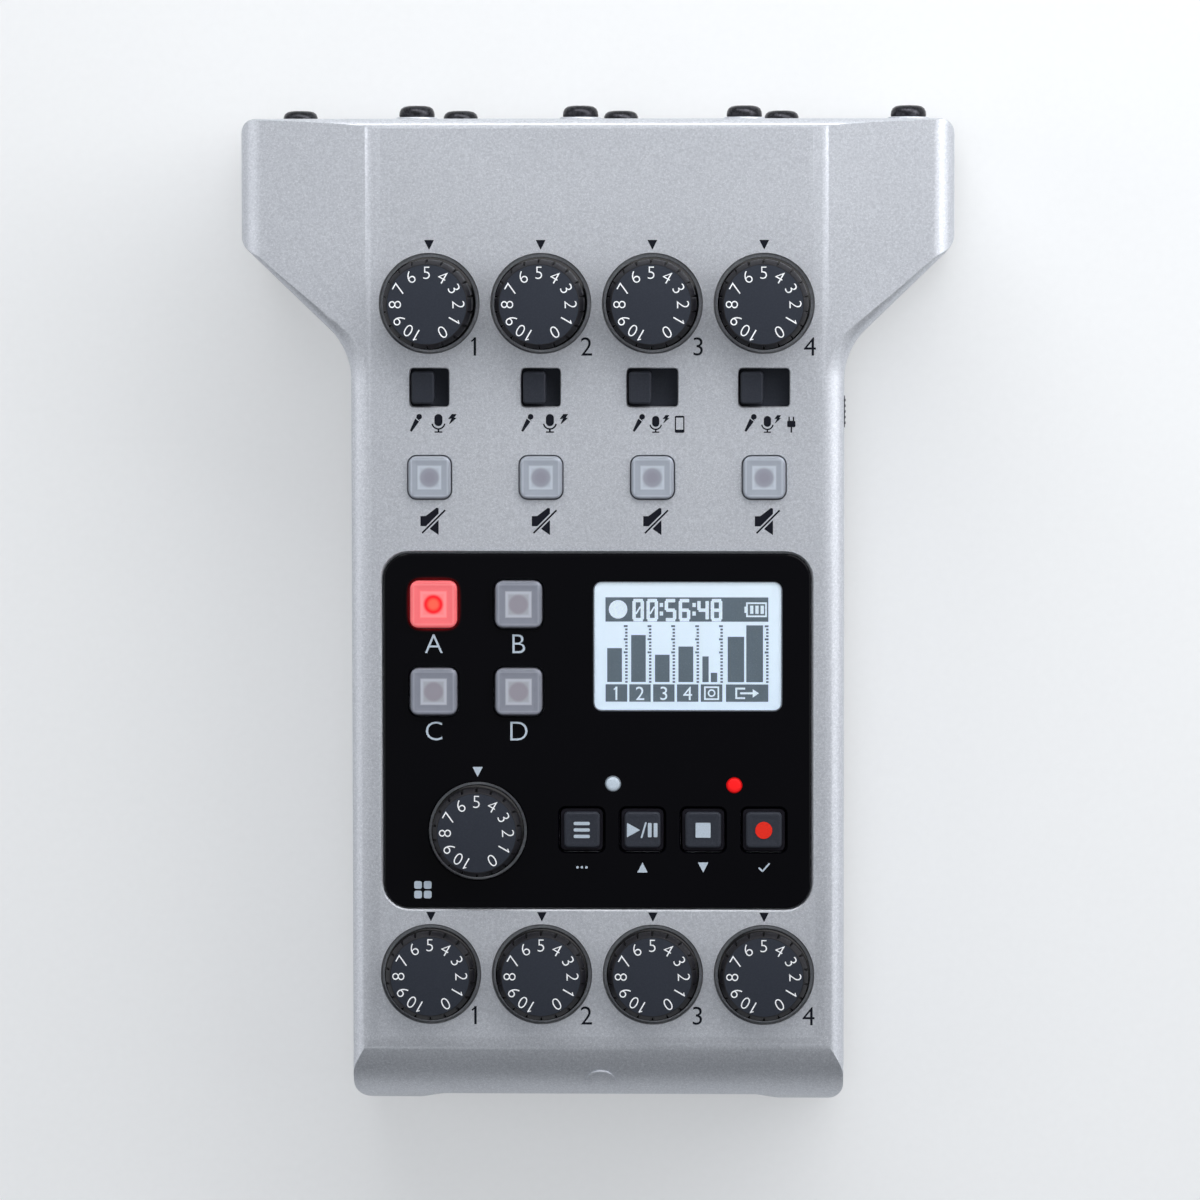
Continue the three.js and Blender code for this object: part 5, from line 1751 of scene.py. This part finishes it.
@dataclass
class Display:
    """Lit display with its picture, behind a clear pane."""

    window: Point = (29.3, 20.0)
    dot_pitch: float = 0.2581
    columns: float = 99.1
    lines: float = 63.7
    level: float = -0.63
    bars: tuple = (
        (1.0, 10.0, 31.0), (15.6, 24.5, 23.0), (30.1, 39.0, 35.0), (44.4, 53.4, 30.0), (59.0, 62.8, 36.0),
        (64.1, 68.0, 46.0), (74.4, 84.4, 24.0), (85.7, 95.9, 17.0),
    )
    scales: tuple = (12.7, 27.2, 41.6, 56.2, 70.7, 98.5)
    labels: tuple = ((0.0, 13.2), (14.5, 27.5), (29.0, 42.0), (43.5, 56.5), (58.0, 71.1), (73.3, 99.1))

    def spot(self, column: float, line: float) -> Point:
        """Place of a display dot, from its column and line."""
        return ((column - self.columns / 2) * self.dot_pitch, (self.lines / 2 - line) * self.dot_pitch)

    def cell(self, form: Form, left: float, top: float, right: float, bottom: float, lift: float = 0) -> None:
        """Add a filled rectangle of display dots.

        Args:
            form: Form that it goes in.
            left: First column.
            top: First line.
            right: Last column.
            bottom: Last line.
            lift: How far it lies over the picture.
        """
        x0, y0 = self.spot(left, top)
        x1, y1 = self.spot(right, bottom)
        size = (abs(x1 - x0), abs(y0 - y1))
        form.slab(size, (lift - INK / 2, lift + INK / 2), ((x0 + x1) / 2, (y0 + y1) / 2))

    def dark_cells(self) -> Form:
        """Header, level bars, scales and label cells."""
        form = Form()
        self.cell(form, 0, 0, self.columns, 14.8)
        for left, right, top in self.bars:
            self.cell(form, left, top, right, 51.7)
        for left, right in self.labels:
            self.cell(form, left, 53.1, right, self.lines)
        for column in self.scales:
            for i in range(18):
                line = 17 + i * 2
                wide = 1.6 if line in (17, 25, 33) else 0.75
                self.cell(form, column - wide, line, column + 0.75, line + 1.15)
        return form

    def light_cells(self) -> Form:
        """Clock, record mark, battery and channel numbers, drawn in the light tone."""
        form = Form()
        lift = INK
        x, y = self.spot(7.7, 7.35)
        form.add(Glyphs.dot(5.7 * self.dot_pitch, 0, 0, 18), Matrix.Translation((x, y, lift)))
        for character, column in zip("005648", (16.3, 24.9, 36.0, 44.5, 55.8, 64.0)):
            self.digit(form, character, column)
        for column in (33.0, 52.9):
            for line in (3.4, 8.6):
                self.cell(form, column, line, column + 2.1, line + 2.5, lift)
        self.battery(form)
        for i in range(4):
            left, right = self.labels[i]
            spot = self.spot((left + right) / 2, 58.6)
            form.add(Glyphs.text(str(i + 1), 8.2 * self.dot_pitch, 0.0), Matrix.Translation((*spot, lift)))
        self.pad_mark(form)
        self.outlet_mark(form)
        return form

    def digit(self, form: Form, character: str, column: float) -> None:
        """Add one clock digit of straight bars.

        Args:
            form: Form that it goes in.
            character: The digit.
            column: Its first column.
        """
        bars = {
            "top": ((1.0, 1.1), (6.2, 1.1)), "middle": ((1.2, 6.9), (6.0, 6.9)),
            "bottom": ((1.0, 12.7), (6.2, 12.7)),
            "upper_left": ((1.1, 1.6), (1.1, 6.6)), "upper_right": ((6.1, 1.6), (6.1, 6.6)),
            "lower_left": ((1.1, 7.2), (1.1, 12.2)), "lower_right": ((6.1, 7.2), (6.1, 12.2)),
            "slash": ((2.4, 9.0), (4.8, 5.0)),
        }
        used = {
            "0": "top bottom upper_left upper_right lower_left lower_right slash",
            "4": "upper_left upper_right middle lower_right",
            "5": "top upper_left middle lower_right bottom",
            "6": "top upper_left lower_left middle lower_right bottom",
            "8": "top middle bottom upper_left upper_right lower_left lower_right",
        }[character]
        for name in used.split():
            (x0, y0), (x1, y1) = bars[name]
            width = 1.0 if name == "slash" else 2.1
            start = Vector(self.spot(column + x0, 0.9 + y0))
            end = Vector(self.spot(column + x1, 0.9 + y1))
            way = (end - start).normalized() * 0.08
            bar = Glyphs.bar(tuple(start - way), tuple(end + way), width * self.dot_pitch, 0.1)
            form.add(bar, Matrix.Translation((0, 0, INK)))

    def battery(self, form: Form) -> None:
        """Add the battery mark."""
        boxes = (
            (86, 3, 98.2, 4), (86, 11, 98.2, 12), (97.2, 3, 98.2, 12), (85.6, 3, 86.6, 12),
            (84.6, 5.6, 85.8, 9.4), (88, 5, 90, 10), (91.2, 5, 93.2, 10), (94.4, 5, 96.4, 10),
        )
        for box in boxes:
            self.cell(form, *box, INK)

    def pad_mark(self, form: Form) -> None:
        """Add the mark of the sound pads."""
        boxes = ((60, 54.3, 69.2, 55.3), (60, 61.6, 69.2, 62.6), (60, 54.3, 61, 62.6), (68.2, 54.3, 69.2, 62.6))
        for box in boxes:
            self.cell(form, *box, INK)
        spot = self.spot(64.6, 58.4)
        form.add(Glyphs.ring(1.9 * self.dot_pitch, 0.24), Matrix.Translation((*spot, INK)))

    def outlet_mark(self, form: Form) -> None:
        """Add an arrow that leads out of a box, for the mixed output."""
        for box in ((79, 55, 80.2, 62), (79, 55, 85, 56.2), (79, 60.9, 85, 62)):
            self.cell(form, *box, INK)
        self.cell(form, 82, 57.9, 90, 59.1, INK)
        tip = self.spot(93.4, 58.5)
        top = self.spot(89.6, 55.9)
        low = self.spot(89.6, 61.1)
        form.add(Glyphs.patch([low, tip, top]), Matrix.Translation((0, 0, INK)))

    def build(self) -> None:
        """Make the display and report it."""
        centre = tuple(FACE_SEAT @ Vector((*WINDOW_PLACE, 0)) * MM)
        lit = Backlight("DisplayLit", tone(205, 216, 223), tone(196, 210, 222), centre, 0.58)
        dark = Ink("DarkCells", tone(98, 110, 118), "display", 0.28)
        light = Ink("LightCells", tone(205, 216, 223), "display", 0.6)
        sheet = Form().slab(self.window, (-1.5, self.level), corner=1.1, edge=0.08)
        piece(sheet, "display_picture", at(FACE_SEAT, *WINDOW_PLACE), lit, sharp=30, weighted=True)
        seat = at(FACE_SEAT, WINDOW_PLACE[0] - 0.14, WINDOW_PLACE[1] - 0.5, self.level + INK / 2)
        print_marks(self.dark_cells(), "display_dark_cells", seat, dark)
        print_marks(self.light_cells(), "display_light_cells", seat, light)
        pane = Form().slab(self.window, (-0.52, -0.1), corner=1.1, edge=0.1)
        piece(pane, "display_pane", at(FACE_SEAT, *WINDOW_PLACE), ClearPane(),
              replaces=("display_window",), sharp=30, weighted=True)


# Sockets and side parts


@dataclass
class MicSocket:
    """Microphone socket behind a round hole of the rear wall."""

    number: int

    def build(self) -> None:
        """Make the socket with its contacts and report it."""
        x = MIC_PLACES[self.number - 1]
        node = f"xlr_socket_{self.number}"
        seat = at(REAR_SEAT, x, 0)
        ring = Form().lathe(
            [(9.75, -12), (9.75, -0.35), (10.0, -0.05), (10.4, 0.0), (11.3, 0.0), (11.6, -0.25), (11.6, -19.3),
             (0, -19.3), (0, -12)], 80,
        )
        core = Form().lathe([
            (0, -12.4), (7.8, -12.4), (7.8, -1.3), (7.6, -1.0), (3.3, -1.0), (2.9, -1.5), (2.9, -9), (0, -9),
        ], 64)
        turns = [math.pi / 2 + i * 2 * math.pi / 3 for i in range(3)]
        places = [(5.35 * math.cos(turn), 5.35 * math.sin(turn)) for turn in turns]
        holes = Form()
        for place in places:
            bore(holes, 1.3, place, -9, 0.3, 24)
        core = core.less(holes)
        flange = Form().slab((25.2, 30.4), (-4.3, -2.3), corner=3)
        latch = Form().slab((5.6, 2.2), (-1.6, -0.15), (0, -8.9), 0.5, 0.3)
        key = Form().slab((1.6, 1.3), (-11, -1.0), (0, 8.4), 0.2, 0.1)
        ring.add(core).add(flange).add(key)
        piece(ring, f"{node}_barrel", seat, BLACK_PLASTIC, BODY, (node,), 32, True)
        piece(latch, f"{node}_latch", seat, KNOB_FLANGE, sharp=35, weighted=True)
        pins = Form()
        for place in places:
            pins.lathe([(0.62, -9), (0.62, -1.9), (1.18, -1.9), (1.18, -9)], 24, place)
        pins.lathe([(2.5, -9), (2.5, -2.6), (2.85, -2.6), (2.85, -9)], 32)
        piece(pins, f"{node}_contacts", seat, STEEL, sharp=35)


@dataclass
class CrossScrew:
    """Pan-head screw with a cross recess."""

    radius: float = 2.8
    height: float = 1.8

    def form(self, shank: float = 4.5) -> Form:
        """Shape of the screw with its head standing on level 0."""
        head = Form().lathe(
            [(0, -shank), (1.35, -shank), (1.5, -shank + 0.3), (1.5, 0), (self.radius - 0.08, 0),
             (self.radius, self.height * 0.12), (self.radius * 0.98, self.height * 0.45),
             (self.radius * 0.9, self.height * 0.72), (self.radius * 0.74, self.height * 0.9),
             (self.radius * 0.5, self.height * 0.98), (0, self.height)], 40,
        )
        long, short = self.radius * 1.05, self.radius * 0.24
        span = (self.height * 0.35, self.height + 1)
        return head.less(Form().slab((long, short), span)).less(Form().slab((short, long), span))


@dataclass
class RearWall:
    """Microphone sockets and their screws."""

    def build(self) -> None:
        """Make the sockets and screws."""
        screw = CrossScrew().form()
        for number, x in enumerate(MIC_PLACES, 1):
            MicSocket(number).build()
            for name, side in (("low", -1), ("high", 1)):
                node = f"socket_screw_{name}_{number}"
                turn = Matrix.Rotation(math.radians(20 + 31 * number * side), 4, "Z")
                seat = at(REAR_SEAT, *screw_spot(x, side), 0.45) @ turn
                piece(screw.copy(), f"{node}_head", seat, BLACK_SCREW, BODY, (node,), 32)


def nozzle(radius: float, low: float) -> list[Point]:
    """Profile of the end of a jack, with a bore of some radius, down to a level."""
    lip = [(radius, low), (radius, -0.3), (radius + 0.15, -0.05), (radius + 0.35, 0)]
    return lip + [(2.75, 0), (3.0, -0.25), (3.0, low)]


@dataclass
class FrontWall:
    """Headphone jacks and the raised headphone mark over them."""

    mark_place: tuple = (0.4, -74.95, 33.0)
    slope: float = math.radians(44)
    relief: float = 0.36

    def build(self) -> None:
        """Make the rings of the jacks and the mark."""
        rings = Form()
        for x in JACK_PLACES:
            rings.lathe(nozzle(1.85, -3), 40, (x, 0))
        piece(rings, "headphone_jack_nozzles", FRONT_SEAT, BLACK_PLASTIC, sharp=35)
        contacts = Form()
        for x in JACK_PLACES:
            contacts.lathe([(1.5, -9), (1.5, -1.6), (1.78, -1.6), (1.78, -9)], 32, (x, 0))
        piece(contacts, "headphone_jack_contacts", FRONT_SEAT, STEEL, sharp=35)
        mark = Glyphs.headphones().moved(Matrix.Diagonal((1.12, 1.0, self.relief / INK, 1)))
        seat = Matrix.Translation(Vector(self.mark_place)) @ Matrix.Rotation(self.slope, 4, "X")
        piece(mark, "headphone_mark", seat, SilverPaint(), sharp=35)


@dataclass
class SideParts:
    """Sockets and the power switch in the side walls."""

    def build(self) -> None:
        """Make the side parts and report them."""
        phone = Form().slab((7, 6.6), (-14.3, -2.3))
        phone = phone.less(Form().disc(1.8, (-12.7, 4), sides=32))
        phone.lathe(nozzle(1.8, -8), 40)
        seat = at(LEFT_SEAT, -29.45, -17.2)
        piece(phone, "phone_socket_nozzle", seat, BLACK_PLASTIC, BODY, ("phone_socket",), 35)
        contact = Form().lathe([(1.45, -9), (1.45, -1.6), (1.76, -1.6), (1.76, -9)], 32)
        piece(contact, "phone_socket_contact", seat, STEEL, sharp=35)
        self.data_socket()
        self.card_slot()
        self.power_switch()

    def data_socket(self) -> None:
        """Small oval data socket."""
        seat = at(LEFT_SEAT, -4.65, -15.55)
        shell = Form().slab((9, 3.3), (-7.7, -0.3), corner=1.6, edge=0.12, steps=8, edge_steps=2)
        shell = shell.less(Form().slab((8.3, 2.6), (-7.35, 4), corner=1.28, steps=8))
        piece(shell, "usb_socket_shell", seat, STEEL, replaces=("usb_socket",), sharp=35)
        tongue = Form().slab((6.6, 0.7), (-7.5, -1.3), corner=0.2, edge=0.15, edge_steps=2)
        piece(tongue, "usb_socket_tongue", seat, BLACK_PLASTIC, sharp=35)

    def card_slot(self) -> None:
        """Memory card socket with a card in it."""
        seat = at(RIGHT_SEAT, -4.65, -15.25)
        shell = Form().slab((25, 2.7), (-26.3, -2.3), corner=0.3).less(Form().slab((24.2, 1.9), (-24.8, 4)))
        piece(shell, "card_socket_shell", seat, STEEL, replaces=("card_socket",), sharp=35)
        card = Form().slab((23.4, 1.5), (-24.4, -2.9), corner=0.2, edge=0.2, edge_steps=2)
        piece(card, "memory_card", seat, BLACK_PLASTIC, sharp=35)

    def power_switch(self) -> None:
        """Slide switch with three ribs on its cap."""
        seat = at(RIGHT_SEAT, 31, -16.2)
        cap = Form().slab((5, 2.6), (-2.7, 0.15), corner=0.4, edge=0.1)
        for i in range(5):
            cap.slab((0.36, 2.3), (-0.2, 0.26), ((i - 2) * 0.9, 0), 0.1, 0.08, 2, 2)
        cap.slab((12.6, 4.2), (-3.1, -2.3), corner=0.2)
        cap.slab((2.6, 1.6), (-4.7, -2.7))
        node = "power_switch"
        piece(cap, f"{node}_cap", seat, CAP_GREY, node, (node,), 35, True)
        marks = Glyphs.ring(0.62, 0.16, 0, 0, 125, 290).add(Glyphs.bar((0, 0.2), (0, 0.85), 0.16))
        marks.moved(Matrix.Translation((0, 5.0, 0)))
        print_marks(marks, "power_mark", at(RIGHT_SEAT, 32.5, -16.2, 0), FACE_INK)


# Underside


@dataclass
class Tray:
    """Black tray with the battery bay and the seats of the feet."""

    housing: Housing

    def outer(self) -> Form:
        """Outside of the tray, with a rounded lower edge."""
        house = self.housing
        rings = []
        for i in range(6):
            turn = i * math.pi / 10
            grow = 1.6 * (1 - math.sin(turn))
            rings.append((house.outline(grow, grow, grow), house.floor + 1.6 * (1 - math.cos(turn))))
        rings.append((house.outline(0, 0, 0), house.tray))
        return Form().rings(rings, 8)

    def build(self) -> None:
        """Make the tray and report it."""
        house = self.housing
        room = house.walls(house.wall, (house.floor + house.wall, 30))
        tray = self.outer().less(room)
        lip = house.walls(1.2, (house.tray - 1.4, 5.8)).less(house.walls(house.wall, (0, 30)))
        solid = Form().slab((58.5, 32.8), (2.2, 19.0), (0, BAY_Y), 1.0, 0.4)
        tray = tray.joined(lip).joined(solid)
        cutters = Form().slab((55.5, 29.8), (-2, 17.5), (0, BAY_Y), 0.4)
        for spot in FOOT_PLACES:
            cutters.disc(5.25, (-2, 1.82), spot, sides=48)
        for spot in CASE_SCREWS:
            cutters.disc(3.0, (-2, 1.9), spot, sides=40)
        piece(tray.less(cutters), "tray", BODY_SEAT, TRAY_PLASTIC, replaces=("bottom_shell",),
              sharp=28, weighted=True)
        self.feet()
        self.screws()

    def feet(self) -> None:
        """Make the rubber feet."""
        for i, spot in enumerate(FOOT_PLACES, 1):
            foot = Form().lathe([
                (0, 0.12), (3.6, 0.05), (4.3, 0), (4.75, 0.12), (4.95, 0.45), (5.0, 0.8), (5.0, 1.5), (0, 1.5),
            ], 56)
            seat = at(BODY_SEAT, *spot)
            piece(foot, f"foot_pad_{i}", seat, FOOT_RUBBER, BODY, (f"foot_{i}",), 40)

    def screws(self) -> None:
        """Make the case screws in their sinks."""
        flip = Matrix.Rotation(math.pi, 4, "X")
        screw = CrossScrew(2.5, 0.8).form(2.0)
        for i, spot in enumerate(CASE_SCREWS, 1):
            seat = at(BODY_SEAT, *spot, 1.95) @ flip @ Matrix.Rotation(0.7 * i, 4, "Z")
            piece(screw.copy(), f"case_screw_{i}", seat, BLACK_SCREW, sharp=32)


@dataclass
class BatteryDoor:
    """Sliding door with a ribbed thumb field and a latch."""

    def build(self) -> None:
        """Make the door and report it."""
        size = (54.4, 28.7)
        door = Form().slab(size, (1.0, 3.0), corner=1.5, under=0.25)
        cutters = Form()
        for x in (-6.4, 6.4):
            cutters.slab((0.8, 8.1), (-2, 6), (x, size[1] / 2 - 3.95), 0.3)
        for i in range(6):
            cutters.slab((9.0, 0.7), (-1, 1.35), (0, size[1] / 2 - 1.5 - i * 1.35), 0.3)
        arrow = Form().prism([(-1.6, 0.0, 0.1), (1.6, 0.0, 0.1), (0.0, 2.4, 0.1)], (-1, 1.3))
        cutters.add(arrow, Matrix.Translation((0, 1.2, 0)))
        seat = at(BODY_SEAT, 0, BAY_Y)
        piece(door.less(cutters), "battery_door_plate", seat, TRAY_PLASTIC, "battery_door",
              ("battery_door",), 28, True)


# Light and camera


@dataclass
class Stage:
    """Pale studio: floor, soft lights, sky and camera."""

    eye: tuple = (41.64, 38.43, 1200.0)
    aim: tuple = (0.39, 0.8, 36.0)
    focal: float = 222.16
    lamps: tuple = (
        ("softbox_rear", (0.15, 0.33, 0.3), (1.0, 0.22), 3.2),
        ("softbox_left", (-1.15, 0.1, 0.8), (0.6, 1.5), 2.7),
        ("softbox_right", (1.15, 0.1, 0.8), (0.6, 1.5), 2.7),
    )

    def floor(self) -> bpy.types.Object:
        """Pale floor under the recorder."""
        part = bmesh.new()
        bmesh.ops.create_grid(part, x_segments=8, y_segments=8, size=3.0)
        data = bpy.data.meshes.new("floor")
        part.to_mesh(data)
        part.free()
        thing = bpy.data.objects.new("floor", data)
        bpy.context.scene.collection.objects.link(thing)
        data.materials.append(StudioFloor().dress())
        return thing

    def lamp(self, name: str, place: Sequence[float], size: Point, power: float) -> bpy.types.Object:
        """Soft rectangular light that faces the middle of the floor.

        Args:
            name: Its name.
            place: Its place in metres.
            size: Width and height in metres.
            power: Its power in watts.

        Returns:
            The light.
        """
        data = bpy.data.lights.new(name, "AREA")
        data.shape = "RECTANGLE"
        data.size, data.size_y = size
        data.energy = power
        thing = bpy.data.objects.new(name, data)
        way = -Vector(place)
        thing.matrix_world = Matrix.Translation(place) @ way.to_track_quat("-Z", "Y").to_matrix().to_4x4()
        thing.visible_camera = False
        bpy.context.scene.collection.objects.link(thing)
        return thing

    def sky(self) -> None:
        """Plain pale surroundings, softer where they light the object than where the camera sees them."""
        world = bpy.data.worlds.new("studio")
        bpy.context.scene.world = world
        world.use_nodes = True
        tree = world.node_tree
        tree.nodes.clear()

        def add(kind: str, links: dict, **settings: object) -> bpy.types.Node:
            """Add a node with its links by input, and its properties."""
            node = tree.nodes.new(kind)
            for name, value in settings.items():
                setattr(node, name, value)
            for key, value in links.items():
                if isinstance(value, bpy.types.NodeSocket):
                    tree.links.new(value, node.inputs[key])
                else:
                    node.inputs[key].default_value = value
            return node

        path = add("ShaderNodeLightPath", {})
        way = add("ShaderNodeSeparateXYZ", {0: add("ShaderNodeTexCoord", {}).outputs["Generated"]})
        side = add("ShaderNodeMath", {0: way.outputs[0]}, operation="ABSOLUTE")
        rear = add("ShaderNodeMath", {0: side.outputs[0], 1: 0.5, 2: way.outputs[1]}, operation="MULTIPLY_ADD")
        share = add(
            "ShaderNodeMapRange", {0: rear.outputs[0], 1: -0.34, 2: 0.5}, interpolation_type="SMOOTHSTEP",
        )
        soft = add(
            "ShaderNodeMix", {0: share.outputs[0], 6: (0.2, 0.21, 0.22, 1), 7: (0.8, 0.82, 0.85, 1)},
            data_type="RGBA",
        )
        mirrored = add("ShaderNodeBackground", {"Color": soft.outputs[2], "Strength": 1.0})
        light = add("ShaderNodeBackground", {"Color": (0.92, 0.95, 1.0, 1), "Strength": 0.3})
        seen = add("ShaderNodeBackground", {"Color": (0.9, 0.91, 0.92, 1), "Strength": 1.0})
        rays = add("ShaderNodeMath", {0: path.outputs["Is Glossy Ray"], 1: path.outputs["Is Transmission Ray"]},
                   operation="MAXIMUM")
        inner = add("ShaderNodeMixShader", {0: rays.outputs[0], 1: light.outputs[0], 2: mirrored.outputs[0]})
        camera = path.outputs["Is Camera Ray"]
        outer = add("ShaderNodeMixShader", {0: camera, 1: inner.outputs[0], 2: seen.outputs[0]})
        add("ShaderNodeOutputWorld", {0: outer.outputs[0]})

    def camera(self) -> bpy.types.Object:
        """Camera over the rear of the recorder."""
        data = bpy.data.cameras.new("camera")
        data.lens = self.focal
        data.sensor_width = 36
        data.clip_start = 0.01
        thing = bpy.data.objects.new("camera", data)
        eye = Vector(self.eye) * MM
        back = (eye - Vector(self.aim) * MM).normalized()
        right = Vector((0, 1, 0)).cross(back).normalized()
        axes = Matrix((right, back.cross(right), back)).transposed()
        thing.matrix_world = Matrix.Translation(eye) @ axes.to_4x4()
        bpy.context.scene.collection.objects.link(thing)
        bpy.context.scene.camera = thing
        return thing

    def build(self) -> None:
        """Set up the studio and mark its parts as backdrop."""
        bpy.context.scene.view_settings.view_transform = "Standard"
        self.sky()
        things = [self.floor()] + [self.lamp(*lamp) for lamp in self.lamps] + [self.camera()]
        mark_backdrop(*things)


def inner_finishes() -> None:
    """Dress the CAD nodes that stay as they are."""
    finishes = {
        "main_board": CircuitBoard(), "input_board": CircuitBoard(), "jack_board": BLACK_PLASTIC,
        "lcd_module": BLACK_PLASTIC, "battery_1": JACKET, "battery_2": JACKET, "battery_link": STEEL,
        "battery_terminals": STEEL,
    }
    for node, finish in finishes.items():
        repaint(node, finish)


def note_size() -> None:
    """Work out the extent of the CAD frame and of the visual model."""
    def plain(box: object) -> list:
        """Nested lists of plain numbers."""
        return [plain(item) for item in box] if hasattr(box, "__len__") else round(float(box), 6)

    {"cad": plain(CAD_BOX), "visual": plain(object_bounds())}


def main() -> None:
    """Build every part of the recorder in order."""
    logging.basicConfig(level=logging.INFO, format="%(message)s")
    housing = Housing()
    TopShell(housing).build()
    ControlPanel().build()
    Display().build()
    for i, x in enumerate(COLUMNS, 1):
        Knob(f"gain_knob_{i}", (x, ROWS["gain"]), 6.8).build()
        Knob(f"volume_knob_{i}", (x, ROWS["volume"]), 3.4).build()
        SourceSwitch(i, SLOT_WIDTHS[i - 1]).build()
        PushButton(f"mute_button_{i}", (x, ROWS["mute"]), 6.7, 1.36, 0.9, 2.0, 0.8).build()
    Knob("pad_level_knob", PAD_KNOB_PLACE, 4.0).build()
    for letter, spot in PAD_PLACES.items():
        PushButton(f"sound_pad_{letter}", spot, 7.4, 1.3, 1.0, 2.5, 1.0, letter == "a").build()
    for mark in KeyMark:
        Key(mark).build()
    StatusLight("play", WHITE_LIGHT).build()
    StatusLight("record", RED_LIGHT).build()
    FacePrint().build()
    PanelPrint().build()
    RearWall().build()
    FrontWall().build()
    SideParts().build()
    Tray(housing).build()
    BatteryDoor().build()
    inner_finishes()
    Stage().build()
    note_size()


if __name__ == "__main__":
    main()
